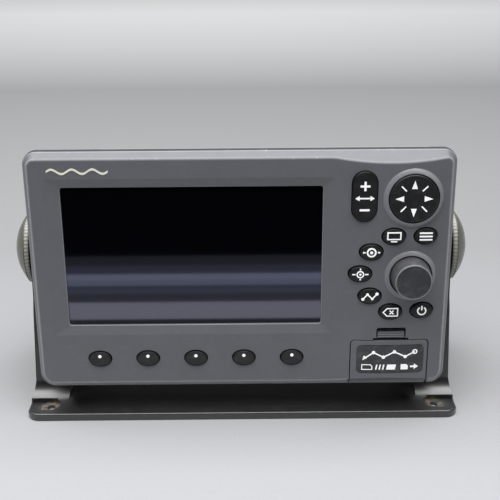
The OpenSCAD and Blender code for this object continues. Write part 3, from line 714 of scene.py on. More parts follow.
# The screen mirrors the strip of floor in front of the unit. These cards lie there, one behind the other, and
# their edges and linear colours were fitted to the light and dark bands measured in the photo's glass.
CARD_W, CARD_Z = 0.6, 0.003    # half their width, and their height
CARD_EDGES = (-0.4865, -0.4435, -0.407, -0.3835, -0.361, -0.353, -0.3335, -0.3045, -0.2525, -0.1965)
CARD_GLOWS = ((0.11, 0.11, 0.11), (0.19, 0.2, 0.24), (0.8, 0.83, 0.95), (0.62, 0.66, 0.78), (0.17, 0.2, 0.24),
              (0.3, 0.32, 0.36), (0.2, 0.21, 0.22), (0.98, 0.97, 0.97), (0.12, 0.12, 0.12))
for i, (y0, y1, colour) in enumerate(zip(CARD_EDGES, CARD_EDGES[1:], CARD_GLOWS)):
    corners = [(x, y, CARD_Z) for x, y in ((-CARD_W, y0), (CARD_W, y0), (CARD_W, y1), (-CARD_W, y1))]
    reflector(f"card_{i}", corners, colour)


# ---------------------------------------------------------------- front shell
def corner_rings(loop_a, loop_b, loop_c, n=5):
    """Rings that round the corner loop_b between loop_a and loop_c."""
    columns = [curve_between(a, b, c, n) for a, b, c in zip(loop_a, loop_b, loop_c)]
    return [[column[i] for column in columns] for i in range(n)]


def towards(loop_a, loop_b, distance):
    """Points a given distance from loop_a on the way to loop_b."""
    pairs = [(Vector(a), Vector(b)) for a, b in zip(loop_a, loop_b)]
    return [tuple(a + (b - a).normalized() * distance) for a, b in pairs]


def shell_rim(shape):
    """The shell's outer side from the face to its back and inside again; returns its first and last ring."""
    cuts = 8, 72    # steps of each corner and of each side
    face = rounded(-FACE_W / 2, FACE_W / 2, -FACE_H / 2, FACE_H / 2, CORNER_TOP, *cuts, CORNER_FOOT)
    case = rounded(-CASE_W / 2, CASE_W / 2, -CASE_H / 2, CASE_H / 2, CASE_CORNER, *cuts, CASE_CORNER + 1)
    edge = [(x, -bulge(x), z - math.copysign(FOOT_SLOPE * bulge(x), z)) for x, z, _, _ in face]
    foot = [(x, CHAMFER_D, z) for x, z, _, _ in case]

    def inward(off):
        points = [(p[0] - f[2] * off, p[2] - f[3] * off) for p, f in zip(edge, face)]
        return [(x, -bulge(x), z) for x, z in points]

    def wall(inset, y):
        return [(x - nx * inset, y, z - nz * inset) for x, z, nx, nz in case]

    soft, lip = 0.9, 0.4    # reach of the rounding at the chamfer's two edges and at the back edge
    rings = [inward(soft + 0.4)]
    rings += corner_rings(inward(soft), edge, towards(edge, foot, soft))
    rings.append(towards(edge, foot, soft + 0.3))
    rings.append(towards(foot, edge, soft + 0.3))
    rings += corner_rings(towards(foot, edge, soft), foot, wall(0, CHAMFER_D + soft))
    rings.append(wall(0, BEZEL_D - lip - 0.1))
    rings += corner_rings(wall(0, BEZEL_D - lip), wall(0, BEZEL_D), wall(lip, BEZEL_D), 3)
    rings += [wall(WALL, BEZEL_D), wall(WALL, FACE_T)]
    # These values paint highlights along the chamfer's edges through the edge tone, and set where the patchy wear
    # falls.
    worn = [0, 0.2, 0.7, 1, 0.7, 0.3, 0.1, 0.1, 0.5, 0.9, 1, 0.9, 0.5] + [0.1] * (len(rings) - 13)
    # Along the foot the whole chamfer, rings 4 to 10, is painted bright: painted light of the floor's bounce,
    # which also feeds the patchy wear.
    floor_bounce = [BOUNCE_LIGHT if p[2] < BOUNCE_LIGHT_Z else 0 for p in rings[8]]
    worn = [[max(w, r if 3 < k < 11 else 0) for r in floor_bounce] for k, w in enumerate(worn)]
    return shape.stack(rings, worn)


def raised_ring(shape, at, hole_r, outer_r, top, n=96):
    """Raised ring round a hole; returns its ring on the face and its ring behind."""
    steps = [(outer_r + 0.5, 0), (outer_r, 0.02), (outer_r - 0.2, 0.14), (outer_r - 1, 0.6)]
    lip = ((0.75, 0.92), (0.34, 1), (0.2, 1), (0.06, 0.96), (0, 0.88))
    steps += [(hole_r + off, rise) for off, rise in lip]
    rings = []
    for r, rise in steps:
        rings.append([(x, -bulge(x) + (top + bulge(x)) * rise, z) for x, z in circle(at, r, n)])
    rings.append([(x, FACE_T, z) for x, _, z in rings[-1]])
    # These values paint highlights on the ring's lip through the case's edge tone, and set its patchy wear.
    return shape.stack(rings, [0, 0.1, 0.3, 0.35, 0.35, 0.4, 0.4, 0.2, 0, 0])


def screen_surround(shape):
    """Sloping surround of the screen; returns its ring on the face and its ring behind."""
    x0, x1, z0, z1 = OPENING
    left, right, below, above = 9.5, 7.5, 6, 5.6    # widths of the four slopes
    outer = rounded(x0 - left, x1 + right, z0 - below, z1 + above, 0.4, 5, 24)
    inner = rounded(x0, x1, z0, z1, 1.5, 5, 24)
    top = [(x, -bulge(x), z) for x, z, _, _ in outer]
    foot = ring_at(inner, 0, 1.6)
    rings = [ring_at(outer, 0.35, surface), ring_at(outer, 0.12, surface), top, towards(top, foot, 0.12),
             towards(top, foot, 0.3), towards(foot, top, 0.5)]
    rings += corner_rings(towards(foot, top, 0.3), foot, ring_at(inner, 0, 1.95), 4)
    rings.append(ring_at(inner, 0, FACE_T))
    # These values paint a highlight on the surround's inner edge through the case's edge tone, and set its patchy
    # wear.
    return shape.stack(rings, [0] * 6 + [0.3, 0.7, 0.7, 0.2, 0])


def door_outline(gap, r):
    """Outline of the card door's opening: rounded top corners and an open foot."""
    x0, x1, top, foot = DOOR_X0 - gap, DOOR_X1 + gap, DOOR_TOP + gap, -90
    turns = np.linspace(0, math.pi / 2, 7)
    points = [(x1, foot)]
    points += [(x1 - r + r * math.cos(a), top - r + r * math.sin(a)) for a in turns]
    points += [(x0 + r - r * math.sin(a), top - r + r * math.cos(a)) for a in turns]
    return points + [(x0, foot)]


def paint_side_shade(shell):
    """Gives the outward side behind the chamfer a darker copy of the grey: painted shade."""
    shell.data.materials.append(SHADED_CASE_SIDE)
    inverse = HEAD.inverted()
    for face in shell.data.polygons:
        p = inverse @ face.center
        n = (inverse.to_3x3() @ face.normal).normalized()
        outside = abs(p.x) > CASE_W / 2 - WALL - 0.4 or abs(p.z) > CASE_H / 2 - WALL - 0.4
        if outside and p.y > CHAMFER_D - 0.45 and abs(n.y) < 0.75 and p.x * n.x + p.z * n.z > 0:
            face.material_index = 1


BAY_X0, BAY_X1, BAY_WALL = 70.1, 119.5, 1.2      # the card bay behind the door
LATCH_X0, LATCH_X1 = 84, 103                     # the bed that the latch slides in


def front_shell():
    """The face with its holes, the chamfered side round it, and the card bay with the latch's bed."""
    grey = FINISHES["case_grey"]
    shape = Shape()
    rim_front, rim_back = shell_rim(shape)
    holes = [screen_surround(shape), raised_ring(shape, PAD_AT, *PAD_RING),
             raised_ring(shape, KNOB_AT, *KNOB_RING)]
    outlines = [grown(oval(head_centre(node), *KEY_SIZE), KEY_GAP) for node in SOFT_KEYS + OVAL_KEYS]
    outlines.append(stadium(RANGE_AT, RANGE_W + 0.6, RANGE_L + 0.6))
    edge = 0.25
    for line in outlines:
        rings = [ring_at(line, edge + 0.25, surface)]
        for share, depth in quarter():
            rings.append(ring_at(line, edge * share, lambda x, z, d=depth: surface(x, z) + edge * d))
        rings.append(ring_at(line, 0, FACE_T))
        # These values paint a highlight on each hole's rounded edge through the case's edge tone, and set its
        # patchy wear.
        holes.append(shape.stack(rings, [0, 0.1, 0.3, 0.4, 0.3, 0.1, 0]))
    bulge_grid = 56.5, 124.5, 2.5, 5    # x from and to, step in x, step in z
    shape.sheet(rim_front, [h[0] for h in holes], surface, bulge_grid, 1.2)
    shape.sheet(rim_back, [h[1] for h in holes])
    shell = shape.object("front_shell", HEAD, grey)
    join(shell,
         solids("bay", grey, [((BAY_X0, 2.6, -68.8), (BAY_X1, 13, -42.5))]),
         solids("latch_bed", grey, [((LATCH_X0, 2.6, -43), (LATCH_X1, 6, -34))]))
    room_x0, room_x1 = BAY_X0 + BAY_WALL, BAY_X1 - BAY_WALL
    cut(shell,
        prism("door_notch", door_outline(0.6, 3.1), -8, 3.4, grey),
        solids("foot_notch", grey, [((room_x0, 2, -90), (room_x1, 9.5, -68.1))]),
        solids("bay_room", grey, [((room_x0, 2.1, -67.6), (room_x1, 15, -43.9))]),
        prism("recess", rounded(LATCH_X0 + 0.1, LATCH_X1 - 0.5, -42.4, -35.2, 1.5, 5), -6, 2.2, grey),
        solids("slot", grey, [((82.2, -6, -44.0), (104.4, 2.2, -42.2))]),
        solids("window", grey, [((87.6, 1, -44.2), (98.6, 7, -35.8))]))
    paint_side_shade(shell)
    piece(shell, "head", "case_grey", "front_bezel")


front_shell()


# ---------------------------------------------------------------- printed symbols
INK, INK_STEP = 0.05, 1.2    # half the ink's thickness, and the longest step along a mark


def stroke(points, width, closed=False):
    """Outline of a line of the given width: an outer loop and, when closed, an inner loop."""
    sides = ([], [])
    n = len(points)
    for i, p in enumerate(points):
        before = points[i - 1] if closed or i else None
        after = points[(i + 1) % n] if closed or i < n - 1 else None
        directions = []
        if before:
            directions.append((Vector(p) - Vector(before)).normalized())
        if after:
            directions.append((Vector(after) - Vector(p)).normalized())
        along = sum(directions, Vector((0, 0))).normalized()
        across = Vector((-along.y, along.x))
        reach = width / 2 / max(0.4, across.dot(Vector((-directions[0].y, directions[0].x))))
        sides[0].append(tuple(Vector(p) + across * reach))
        sides[1].append(tuple(Vector(p) - across * reach))
    return [sides[0], sides[1]] if closed else [sides[0] + sides[1][::-1]]


def dot(x, z, r):
    """Filled round mark."""
    return [circle((x, z), r, 28)]


def arc_line(r, start, end, n=28, at=(0, 0)):
    """Points along an arc between two angles in degrees."""
    turns = [math.radians(start + (end - start) * i / n) for i in range(n + 1)]
    return [(at[0] + r * math.cos(a), at[1] + r * math.sin(a)) for a in turns]


def bar_mark(x0, x1, z0, z1, lean=0):
    """Upright rectangle, with its top moved right by lean."""
    return [[(x0, z0), (x1, z0), (x1 + lean, z1), (x0 + lean, z1)]]


def ink(name, marks, at, depth, body):
    """Thin printed marks on a surface; each mark is an outer loop with an optional inner loop, about at."""
    shape = Shape()
    for mark in marks:
        loops = []
        for loop in mark:
            fine = []
            for a, b in zip(loop, loop[1:] + loop[:1]):
                steps = max(1, int(math.dist(a, b) / INK_STEP))
                fine += [(a[0] + (b[0] - a[0]) * k / steps + at[0], a[1] + (b[1] - a[1]) * k / steps + at[1])
                         for k in range(steps)]
            loops.append(shape.stack([[(x, depth(x, z) - INK, z) for x, z in fine],
                                      [(x, depth(x, z) + INK, z) for x, z in fine]]))
        loops.sort(key=lambda l: -max(shape.points[i][0] for i in l[0]))
        for k in (0, 1):
            shape.sheet(loops[0][k], [l[k] for l in loops[1:]])
    piece(shape.object(name, HEAD, WHITE_INK), body, "badge_cream")


# ---------------------------------------------------------------- keys
def cap_depth(at, w, h, front):
    """Function for the depth of a crowned cap of width w and height h."""
    def depth(x, z):
        share = ((x - at[0]) / (w / 2)) ** 2 + ((z - at[1]) / (h / 2)) ** 2
        return front - KEY_CROWN * max(0.0, 1 - share)
    return depth


def key_cap(name, line, inner, front, depth, material, flange, flange_y):
    """Crowned key cap with a rounded edge, and the flange behind the face that holds it in."""
    edge = 0.55
    shape = Shape()
    rings = [[(x, depth(x, z), z) for x, z in inner(s)] for s in (0.1, 0.3, 0.5, 0.68, 0.82)]
    for share, down in quarter(6):
        rings.append(ring_at(line, -edge * share, front + 0.02 + edge * down))
    rings += [ring_at(line, off, y) for off, y in zip((0, flange, flange), (flange_y[0], *flange_y))]
    # The rim's values paint its near-black edge: painted shade of the gap round the key.
    first, last = shape.stack(rings, [0, 0, 0, 0, 0.05, 0.5, 0.8] + [1] * 7)
    shape.sheet(first)
    shape.sheet(last)
    return shape.object(name, HEAD, material)


def oval_key(node, material):
    """One oval key; returns its centre and the depth of its front."""
    at = head_centre(node)
    size = KEY_SIZE[0] - 0.3, KEY_SIZE[1] - 0.3
    line = oval(at, *size)
    front = -bulge(at[0]) - KEY_PROUD
    depth = cap_depth(at, *size, front)
    inner = lambda s: [(at[0] + (x - at[0]) * s, at[1] + (z - at[1]) * s) for x, z, _, _ in line]
    cap = key_cap(node + "_cap", line, inner, front, depth, material, 1.5, (3.2, 4.2))
    piece(cap, node, "key_black", node)
    return at, depth


SYMBOLS = {
    "key_display": [stroke([(-3.9, -1.5), (3.9, -1.5), (3.9, 2.7), (-3.9, 2.7)], 0.8, True),
                    bar_mark(-1.9, 1.9, -3.3, -2.5)],
    "key_menu": [bar_mark(-3.9, 3.9, z - 0.5, z + 0.5) for z in (2.1, 0, -2.1)],
    "key_marker": [stroke(arc_line(2.5, 0, 345, 23), 1.0, True), dot(0, 0, 0.95),
                   bar_mark(-5.2, -3.7, -0.45, 0.45), bar_mark(3.7, 5.2, -0.45, 0.45)],
    "key_goto": [stroke(arc_line(2.0, 0, 345, 23), 0.8, True), dot(0, 0, 0.7), bar_mark(-5, -2.9, -0.4, 0.4),
                 bar_mark(2.9, 5, -0.4, 0.4), bar_mark(-0.4, 0.4, 2.7, 3.8), bar_mark(-0.4, 0.4, -3.8, -2.7)],
    "key_route": [stroke([(-4.3, -1.7), (-1.5, 1.5), (1.5, -1.5), (4.3, 1.7)], 0.8), dot(-4.3, -1.7, 1.0),
                  dot(4.3, 1.7, 1.0), dot(-1.5, 1.5, 0.8), dot(1.5, -1.5, 0.8)],
    "key_clear": [stroke([(-4.6, 0), (-2.2, 2.5), (4.3, 2.5), (4.3, -2.5), (-2.2, -2.5)], 0.75, True),
                  stroke([(-0.6, -1.2), (1.8, 1.2)], 0.75), stroke([(-0.6, 1.2), (0.6, 0.02)], 0.75),
                  stroke([(0.6, -0.02), (1.8, -1.2)], 0.75)],
    "key_power": [stroke(arc_line(2.5, 122, 418, 28), 0.9), bar_mark(-0.45, 0.45, 0.4, 3.3)],
}


for node in OVAL_KEYS:
    centre, depth = oval_key(node, FINISHES["key_black"])
    ink(node + "_symbol", SYMBOLS[node], centre, depth, node)
for node in SOFT_KEYS:
    centre, depth = oval_key(node, SOFT_KEY_RUBBER)
    ink(node + "_dot", [dot(0, 2.1, 1.05)], centre, depth, node)


def range_rocker():
    """The long rocker key, with a plus, a double arrow and a minus."""
    line = stadium(RANGE_AT, RANGE_W - 0.3, RANGE_L - 0.3)
    front = -bulge(RANGE_AT[0]) - KEY_PROUD
    depth = lambda x, z: front
    half = RANGE_W / 2
    inner = lambda s: [(x - nx * half * (1 - s), z - nz * half * (1 - s)) for x, z, nx, nz in line]
    piece(key_cap("range_rocker", line, inner, front, depth, FINISHES["key_black"], 1.0, (4.2, 5.2)),
          "range_key", "key_black", "range_key")
    plus = [[(-0.65, -2.9), (0.65, -2.9), (0.65, -0.65), (2.9, -0.65), (2.9, 0.65), (0.65, 0.65), (0.65, 2.9),
             (-0.65, 2.9), (-0.65, 0.65), (-2.9, 0.65), (-2.9, -0.65), (-0.65, -0.65)]]
    arrow = [[(-5.8, 0), (-3.2, 1.6), (-3.2, 0.45), (3.2, 0.45), (3.2, 1.6), (5.8, 0), (3.2, -1.6),
              (3.2, -0.45), (-3.2, -0.45), (-3.2, -1.6)]]
    minus = bar_mark(-2.95, 2.95, -0.65, 0.65)
    shift = lambda loops, dz: [[(x, z + dz) for x, z in loop] for loop in loops]
    marks = [shift(plus, 6.5), shift(arrow, -0.9), shift(minus, -8.1)]
    ink("range_symbols", marks, RANGE_AT, depth, "range_key")


range_rocker()


# ---------------------------------------------------------------- cursor pad and rotary knob
PAD_DISH = [(0, -3.9), (3, -3.9), (6, -3.98), (9, -4.18), (11.5, -4.42), (13.2, -4.6)]


def dish(x, z):
    """Depth of the pad's hollow front at a point."""
    r = math.hypot(x - PAD_AT[0], z - PAD_AT[1])
    return float(np.interp(r, [p[0] for p in PAD_DISH], [p[1] for p in PAD_DISH]))


def cursor_disc():
    """Dished disc with a rounded rim, a flange behind the face and a hub, and its arrows and bars."""
    rim = [(13.9, -4.56), (14.35, -4.36), (14.62, -4.05), (14.75, -3.6), (14.75, 4.4)]
    flange = [(15.95, 4.4), (15.95, 5.2), (13.25, 5.2), (13.25, 1.5)]
    hub = [(6, 1.5), (6, 3.2), (2.9, 3.2), (2.9, 1.5), (0, 1.5)]
    disc = turned(PAD_AT, PAD_DISH + rim + flange + hub).object("cursor_disc", HEAD, FINISHES["key_black"])
    piece(disc, "cursor_pad", "key_black", "cursor_pad")
    marks = []
    lean = 0.7071    # sine and cosine of the bars' 45 degrees
    for k in range(4):
        c, s = math.cos(math.pi / 2 * k), math.sin(math.pi / 2 * k)
        spin = lambda points: [(x * c - z * s, x * s + z * c) for x, z in points]
        marks.append([spin([(-1.75, 6.1), (1.75, 6.1), (0, 11.2)])])
        bar = (6.6, -0.42), (11.0, -0.42), (11.0, 0.42), (6.6, 0.42)
        marks.append([spin([(p * lean - q * lean, p * lean + q * lean) for p, q in bar])])
    ink("cursor_symbols", marks, PAD_AT, dish, "cursor_pad")


cursor_disc()

# Lit and shaded copies of one plastic: the side is painted lighter, its edge tone paints the rim's highlight, and
# the front is painted darker.
KNOB_SIDE_LIT = finish("knob_side_lit", shade(74, 74, 77), 0.42, 0.08, 0.0005, edge=shade(150), painted_edge_share=0.6,
                   dust=shade(160), dust_share=0.12)
KNOB_FACE_SHADED = finish("knob_face_shaded", shade(52, 53, 56), 0.6, 0.2, 0.0005, 0.000012, worn=shade(120),
                   dust=shade(110), dust_share=0.25)


def knob():
    """Tapered knob with a rounded rim, painted bright, and a slightly hollow front, painted darker than its side.
    """
    low, high = head_box("rotary_knob")
    foot, front = high[1], low[1]
    side = [(0, foot), (12.2, foot), (12.5, foot - 0.1), (12.6, foot - 0.4), (11.4, front + 2.2)]
    rim = [(11.28, 1.2), (11.18, 0.8), (11.05, 0.47), (10.88, 0.25), (10.68, 0.16), (10.5, 0.19)]
    hollow = [(10.36, 0.27), (10.2, 0.37), (8.5, 0.42), (4, 0.45), (0, 0.46)]
    profile = side + [(r, front + y) for r, y in rim + hollow]
    # These values paint the bright highlight ring on the rim.
    wears = [0, 0, 0, 0, 0.1, 0.3, 0.7, 1, 1, 0.9, 0.5, 0, 0, 0]
    obj = turned(KNOB_AT, profile, wears).object("rotary_knob_cap", HEAD, KNOB_SIDE_LIT)
    # The front takes the darker copy: painted shade.
    obj.data.materials.append(KNOB_FACE_SHADED)
    inverse = HEAD.inverted()
    for face in obj.data.polygons:
        p = inverse @ face.center
        if math.hypot(p.x - KNOB_AT[0], p.z - KNOB_AT[1]) < 10.4 and p.y < foot - 5:
            face.material_index = 1
    piece(obj, "rotary_knob", "case_grey", "rotary_knob")


knob()


# ---------------------------------------------------------------- card door, its label and its latch
LABEL_AT, LABEL_W, LABEL_H, LABEL_SINK = (93.4, -56.9), 42, 19.4, 0.2
BARREL_R, PANEL_BACK = 4.05, 2.4    # the hinge barrel's radius and the depth of the door's back


def door_section(x, back_off, top):
    """Closed outline of the door's cut at x, as (y, z) points, with its front moved back by back_off."""
    front = -bulge(x) + back_off
    edge_z = -(FACE_H / 2 - FOOT_SLOPE * bulge(x))
    slope = Vector((CHAMFER_D + bulge(x), -CASE_H / 2 - edge_z)).normalized()
    corner = Vector((front, edge_z + back_off * 0.4))
    rel = corner - Vector((PIN_Y, PIN_Z))
    b = rel.dot(slope)
    meet = corner + slope * (-b + math.sqrt(max(0.0, b * b - rel.length_squared + BARREL_R ** 2)))
    points = [(PANEL_BACK, top)]
    for a in np.linspace(math.pi / 2, math.pi, 5):
        points.append((front + 0.3 + 0.3 * math.cos(a), top - 0.3 + 0.3 * math.sin(a)))
    points += [(front, top - 0.8), (front, (top + edge_z) / 2), tuple(corner + Vector((0, 0.8)))]
    points += curve_between(tuple(corner + Vector((0, 0.5))), tuple(corner), tuple(corner + slope * 0.5), 4)
    points.append(tuple(corner + slope * 0.8))
    start = math.atan2(meet.y - PIN_Z, meet.x - PIN_Y)
    if start > 0:
        start -= TAU
    stop = math.atan2(math.sqrt(BARREL_R ** 2 - (PIN_Y - PANEL_BACK) ** 2), PANEL_BACK - PIN_Y)
    for a in np.linspace(start, stop, 16):
        points.append((PIN_Y + BARREL_R * math.cos(a), PIN_Z + BARREL_R * math.sin(a)))
    return points


def door():
    """Door with the hinge barrel at its foot, and its printed label sunk into the front."""
    grey = FINISHES["case_grey"]
    x0, x1, r, edge = DOOR_X0, DOOR_X1, 2.5, 0.3
    stations = [(edge * share, edge * down) for share, down in quarter(5)[::-1]]
    half = sorted(set([round(s, 4) for s, _ in stations] + [0.75, 1.0, 1.4, 1.9, 2.5]))
    backs = {round(s, 4): d for s, d in stations}
    left = [(x0 + s, backs.get(s, 0.0)) for s in half]
    right = [(x1 - s, backs.get(s, 0.0)) for s in half[::-1]]
    middle = [(x, 0.0) for x in np.linspace(x0 + 4.5, x1 - 4.5, 16)]
    shape = Shape()
    rings, wears = [], []
    for x, back_off in left + middle + right:
        near = min(x - x0, x1 - x)
        top = DOOR_TOP - (r - math.sqrt(max(0.0, r * r - (r - near) ** 2)) if near < r else 0)
        rings.append([(x, y, z) for y, z in door_section(x, back_off, top)])
        # The door's foot gets the same painted floor-bounce light as the chamfer beside it.
        wears.append([BOUNCE_LIGHT if z < BOUNCE_LIGHT_Z and y < 6 else 0 for _, y, z in rings[-1]])
    shape.solid(rings, wears)
    obj = shape.object("door_panel", HEAD, grey)
    x_low, x_high = LABEL_AT[0] - LABEL_W / 2, LABEL_AT[0] + LABEL_W / 2
    z_low, z_high = LABEL_AT[1] - LABEL_H / 2, LABEL_AT[1] + LABEL_H / 2
    gap, film = 0.2, 0.4
    pocket = rounded(x_low - gap, x_high + gap, z_low - gap, z_high + gap, 3 + gap, 6, 12)
    cut(obj, plate("pocket", pocket, lambda x, z: -8, lambda x, z: surface(x, z) + LABEL_SINK + film, grey),
        solids("bore", grey, rods=[(PIN_Y, PIN_Z, 1.3, x0 - 1, x1 + 1)]))
    piece(obj, "card_door", "case_grey", "card_door")
    line = rounded(x_low, x_high, z_low, z_high, 3, 6, 14)
    face = lambda x, z: surface(x, z) + LABEL_SINK
    label = plate("label_film", line, face, lambda x, z: face(x, z) + film, FINISHES["label_dark"],
                  (x_low, x_high, 2.5, 4))
    piece(label, "card_door", "label_dark", "door_label")
    route = [(-15.9, 0.7), (-10.5, 4.6), (-4.2, 1.4), (2.6, 5.0), (9.6, 1.6), (15.6, 4.8)]
    marks = [stroke(route, 0.85)] + [dot(x, z, 1.15) for x, z in route[1:-1]]
    marks.append([[(-17.4, -0.7), (-14.4, 0.9), (-16.5, 2.6)]])
    marks.append(stroke(arc_line(1.3, 0, 345, 23, route[-1]), 0.75, True))
    card = [(-17.6, -7.2), (-11.2, -7.2), (-11.2, -5.0), (-12.3, -3.9), (-17.6, -3.9)]
    marks.append(stroke(card, 0.6, True))
    marks += [bar_mark(x, x + 0.9, -7.3, -3.8, 0.6) for x in (-9.2, -7.0, -4.8)]
    marks.append(bar_mark(-2.2, 3.4, -7.3, -3.8, 0.6))
    marks.append([[(7.0, -7.4), (11.6, -7.4), (11.6, -4.8), (10.5, -3.7), (7.0, -3.7)]])
    marks.append([[(13.0, -6.1), (15.4, -6.1), (15.4, -7.4), (18.2, -5.5), (15.4, -3.6), (15.4, -4.9),
                   (13.0, -4.9)]])
    ink("label_symbols", marks, LABEL_AT, face, "card_door")


door()


def latch():
    """Sliding latch with two finger grooves, and the tongue behind it."""
    grey = FINISHES["case_grey"]
    obj = solids("latch_slide", grey, [((85, -2.4, -42), (101.6, 1.9, -38.2))])
    join(obj, solids("tongue", grey, [((88.2, 1.5, -43.6), (98, 4.8, -38.3))]),
         solids("tongue_tip", grey, [((88.2, 2.9, -46), (98, 4.8, -43.4))]))
    cut(obj, solids("grooves", grey, rods=[(-2.7, z, 0.6, 84, 103) for z in (-40.9, -39.5)], n=24))
    piece(softened(obj, 0.25, 2), "door_latch", "case_grey", "door_latch")


latch()


# ---------------------------------------------------------------- clamp knobs
def clamp_dome(side):
    """Hand knob: a ribbed band and a smooth dome, about the tilt axis."""
    node = "clamp_knob_left" if side < 0 else "clamp_knob_right"
    low, high = local_box(node, BASE)
    foot, end = sorted((abs(low[0]), abs(high[0])))
    centre = (low[1] + high[1]) / 2, (low[2] + high[2]) / 2
    ribs, steps, band, bore = 60, 8, 3.1, 3.97
    outer = (high[2] - low[2]) / 2
    sag = end - foot - band
    dome_r = (outer ** 2 + sag ** 2) / (2 * sag)
    half = math.asin(outer / dome_r)
    rim = foot + band
    # The profile's points are (radius, distance along the axis, share of the ribs' depth).
    profile = [(bore, foot + 5, 0), (bore, foot, 0), (outer - 2.2, foot, 0), (outer - 1.4, foot, 0.2),
               (outer - 0.75, foot + 0.15, 0.6), (outer - 0.3, foot + 0.5, 1), (outer - 0.1, foot + 0.9, 1),
               (outer - 0.1, rim - 0.75, 1), (outer - 0.1, rim - 0.4, 0.6), (outer - 0.08, rim - 0.15, 0),
               (outer, rim, 0), (outer - 0.06, rim + 0.25, 0)]
    for a in np.linspace(half * 0.965, half * 0.03, 16):
        profile.append((dome_r * math.sin(a), end - dome_r + dome_r * math.cos(a), 0))
    shape = Shape()
    n = ribs * steps
    rings, wears = [], []
    for r, x, share in profile:
        ring = []
        for i in range(n):
            dip = 0.18 * share * (0.5 - 0.5 * math.cos(TAU * i / steps)) ** 1.4
            a = TAU * i / n
            ring.append((side * x, centre[0] + (r - dip) * math.cos(a), centre[1] + (r - dip) * math.sin(a)))
        rings.append(ring)
        # These values paint highlights on the rib crests through the olive finish's edge tone.
        wears.append([share * (0.6 + 0.2 * math.cos(TAU * i / steps)) for i in range(n)])
    first, last = shape.stack(rings, wears)
    shape.fan(first, (side * (foot + 5), *centre))
    shape.fan(last, (side * end, *centre))
    piece(shape.object(f"{node}_dome", BASE, FINISHES["knob_olive"], 50), node, "knob_olive", node)


for side in (-1, 1):
    clamp_dome(side)


# ---------------------------------------------------------------- rear cover
def cover_ring(w, h, y, r=6.0):
    """Rounded rectangle at a depth."""
    return [(x, y, z) for x, z, _, _ in rounded(-w / 2, w / 2, -h / 2, h / 2, r, 6, 10)]


CONNECTORS = ["power_connector", "data_connector", "sensor_connector", "antenna_connector"]
SCREWS = [(x, z) for x in (-121.5, 121.5) for z in (64, 14)] + [(-121.5, -58), (121.5, -38)]
FLANGE_LAP, TERMINAL_R = 3.95, 2.05    # how far a connector's flange laps its hole; the terminal's hole


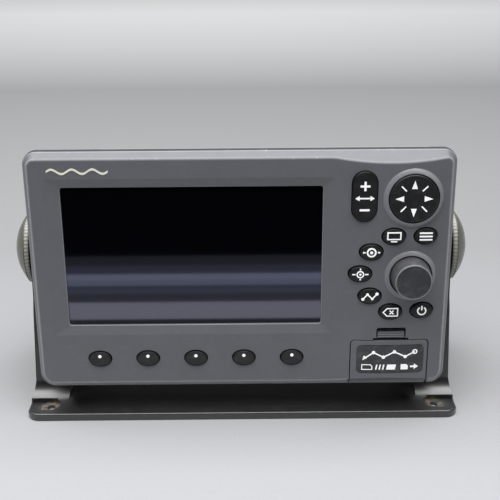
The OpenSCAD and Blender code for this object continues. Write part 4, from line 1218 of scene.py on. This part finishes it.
def rear_shell():
    """Hollow cover with connector holes and vent ribs at its end, screw bosses and the tilt axis' bosses."""
    material = FINISHES["cover_grey"]
    front, flange_y, shoulder_y, back, t = 9.7, 13.0, 17.0, 84.0, 2.5
    sizes = (CASE_W - 3, CASE_H - 2), (CASE_W - 3, CASE_H - 2), (224, 148), (216, 118)
    outer = [cover_ring(*size, y) for size, y in zip(sizes, (front, flange_y, shoulder_y, back))]
    inner = [cover_ring(size[0] - 2 * t, size[1] - 2 * t, y, 4)
             for size, y in zip(sizes, (front, flange_y, shoulder_y, back - t))]
    cap = cover_ring(sizes[3][0] - 6, sizes[3][1] - 6, back, 3.5)
    rings = [inner[0], towards(outer[0], inner[0], 0.4)]
    rings += corner_rings(towards(outer[0], inner[0], 0.3), outer[0], towards(outer[0], outer[1], 0.3), 3)
    for a, b, c, size in zip(outer, outer[1:], [*outer[2:], cap], (0.9, 1.2, 2.4)):
        rings += corner_rings(towards(b, a, size), b, towards(b, c, size), 6)
    rings.append(cap)
    shape = Shape()
    _, outer_cap = shape.stack(rings, [0] * (len(rings) - 7) + [0.2, 0.6, 1, 1, 0.6, 0.2, 0])
    first, inner_cap = shape.stack(inner)
    shape.bridge(first, shape.ring(rings[0]))
    holes = []
    sockets = [(head_centre(name), (head_box(name)[1][0] - head_box(name)[0][0]) / 2) for name in CONNECTORS]
    for (x, z), reach in [*sockets, (head_centre("ground_terminal"), 0)]:
        r = reach - FLANGE_LAP if reach else TERMINAL_R
        line = oval((x, z), 2 * r, 2 * r, 48)
        steps = (0.4, back), (0.12, back), (0, back - 0.15), (0, back - t)
        holes.append(shape.stack([ring_at(line, off, y) for off, y in steps]))
    shape.sheet(outer_cap, [h[0] for h in holes])
    shape.sheet(inner_cap, [h[1] for h in holes])
    shell = shape.object("rear_shell", HEAD, material)
    ribs = [((x - 1, back - 1, 4), (x + 1, back + 1.5, 54)) for x in range(-96, 97, 8)]
    join(shell, solids("vent_ribs", material, ribs, softness=0.45),
         solids("top_ridge", material, [((-85, flange_y, 72), (115, shoulder_y, 75.4))], softness=0.7),
         solids("bosses", material, bars=[(x, z, 5, front, flange_y + 2) for x, z in SCREWS],
                rods=[(AXIS_DEPTH, AXIS_RISE, 15, s * 98, s * 112.5) for s in (-1, 1)], n=64, softness=0.5))
    shanks = [(x, z, 2.1, front - 1, flange_y + 1) for x, z in SCREWS]
    heads = [(x, z, 3.7, 12.5, shoulder_y) for x, z in SCREWS]
    cut(shell, solids("bores", material, bars=shanks + heads,
                      rods=[(AXIS_DEPTH, AXIS_RISE, 6.05, s * 90, s * 120) for s in (-1, 1)], n=48))
    piece(shell, "head", "cover_grey", "rear_cover")


rear_shell()


# ---------------------------------------------------------------- bracket
PLATE_T, RIM_Y, NEAR = 5, 50, 0.01    # the plate's thickness, how far out its rims lie, and a close match


def bracket():
    """The designed bracket with the plate's front and rear edges rounded."""
    mesh = frame["nodes"]["bracket"].data.copy()
    bm = bmesh.new()
    bm.from_mesh(mesh)
    bmesh.ops.remove_doubles(bm, verts=bm.verts, dist=1e-6)
    bmesh.ops.dissolve_limit(bm, angle_limit=math.radians(0.6), verts=bm.verts, edges=bm.edges)
    weights = bm.edges.layers.float.new("bevel_weight_edge")
    for edge in bm.edges:
        on_rim = all(abs(v.co.z / MM - PLATE_T) < NEAR and abs(v.co.y) > RIM_Y * MM for v in edge.verts)
        if on_rim and max(face.calc_center_median().z for face in edge.link_faces) < (PLATE_T + NEAR) * MM:
            side = min(edge.link_faces, key=lambda face: abs(face.normal.z))
            edge[weights] = abs(side.normal.z) < 0.1 and side.normal.y * edge.verts[0].co.y > 0
    bm.to_mesh(mesh)
    bm.free()
    obj = place(mesh, "bracket_body", FINISHES["bracket_black"])
    piece(softened(obj, 0.9, 4, None), "base", "bracket_black", "bracket")


bracket()


# ---------------------------------------------------------------- closing
[[[float(c) for c in corner] for corner in box] for box in (cad_bounds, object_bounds())]
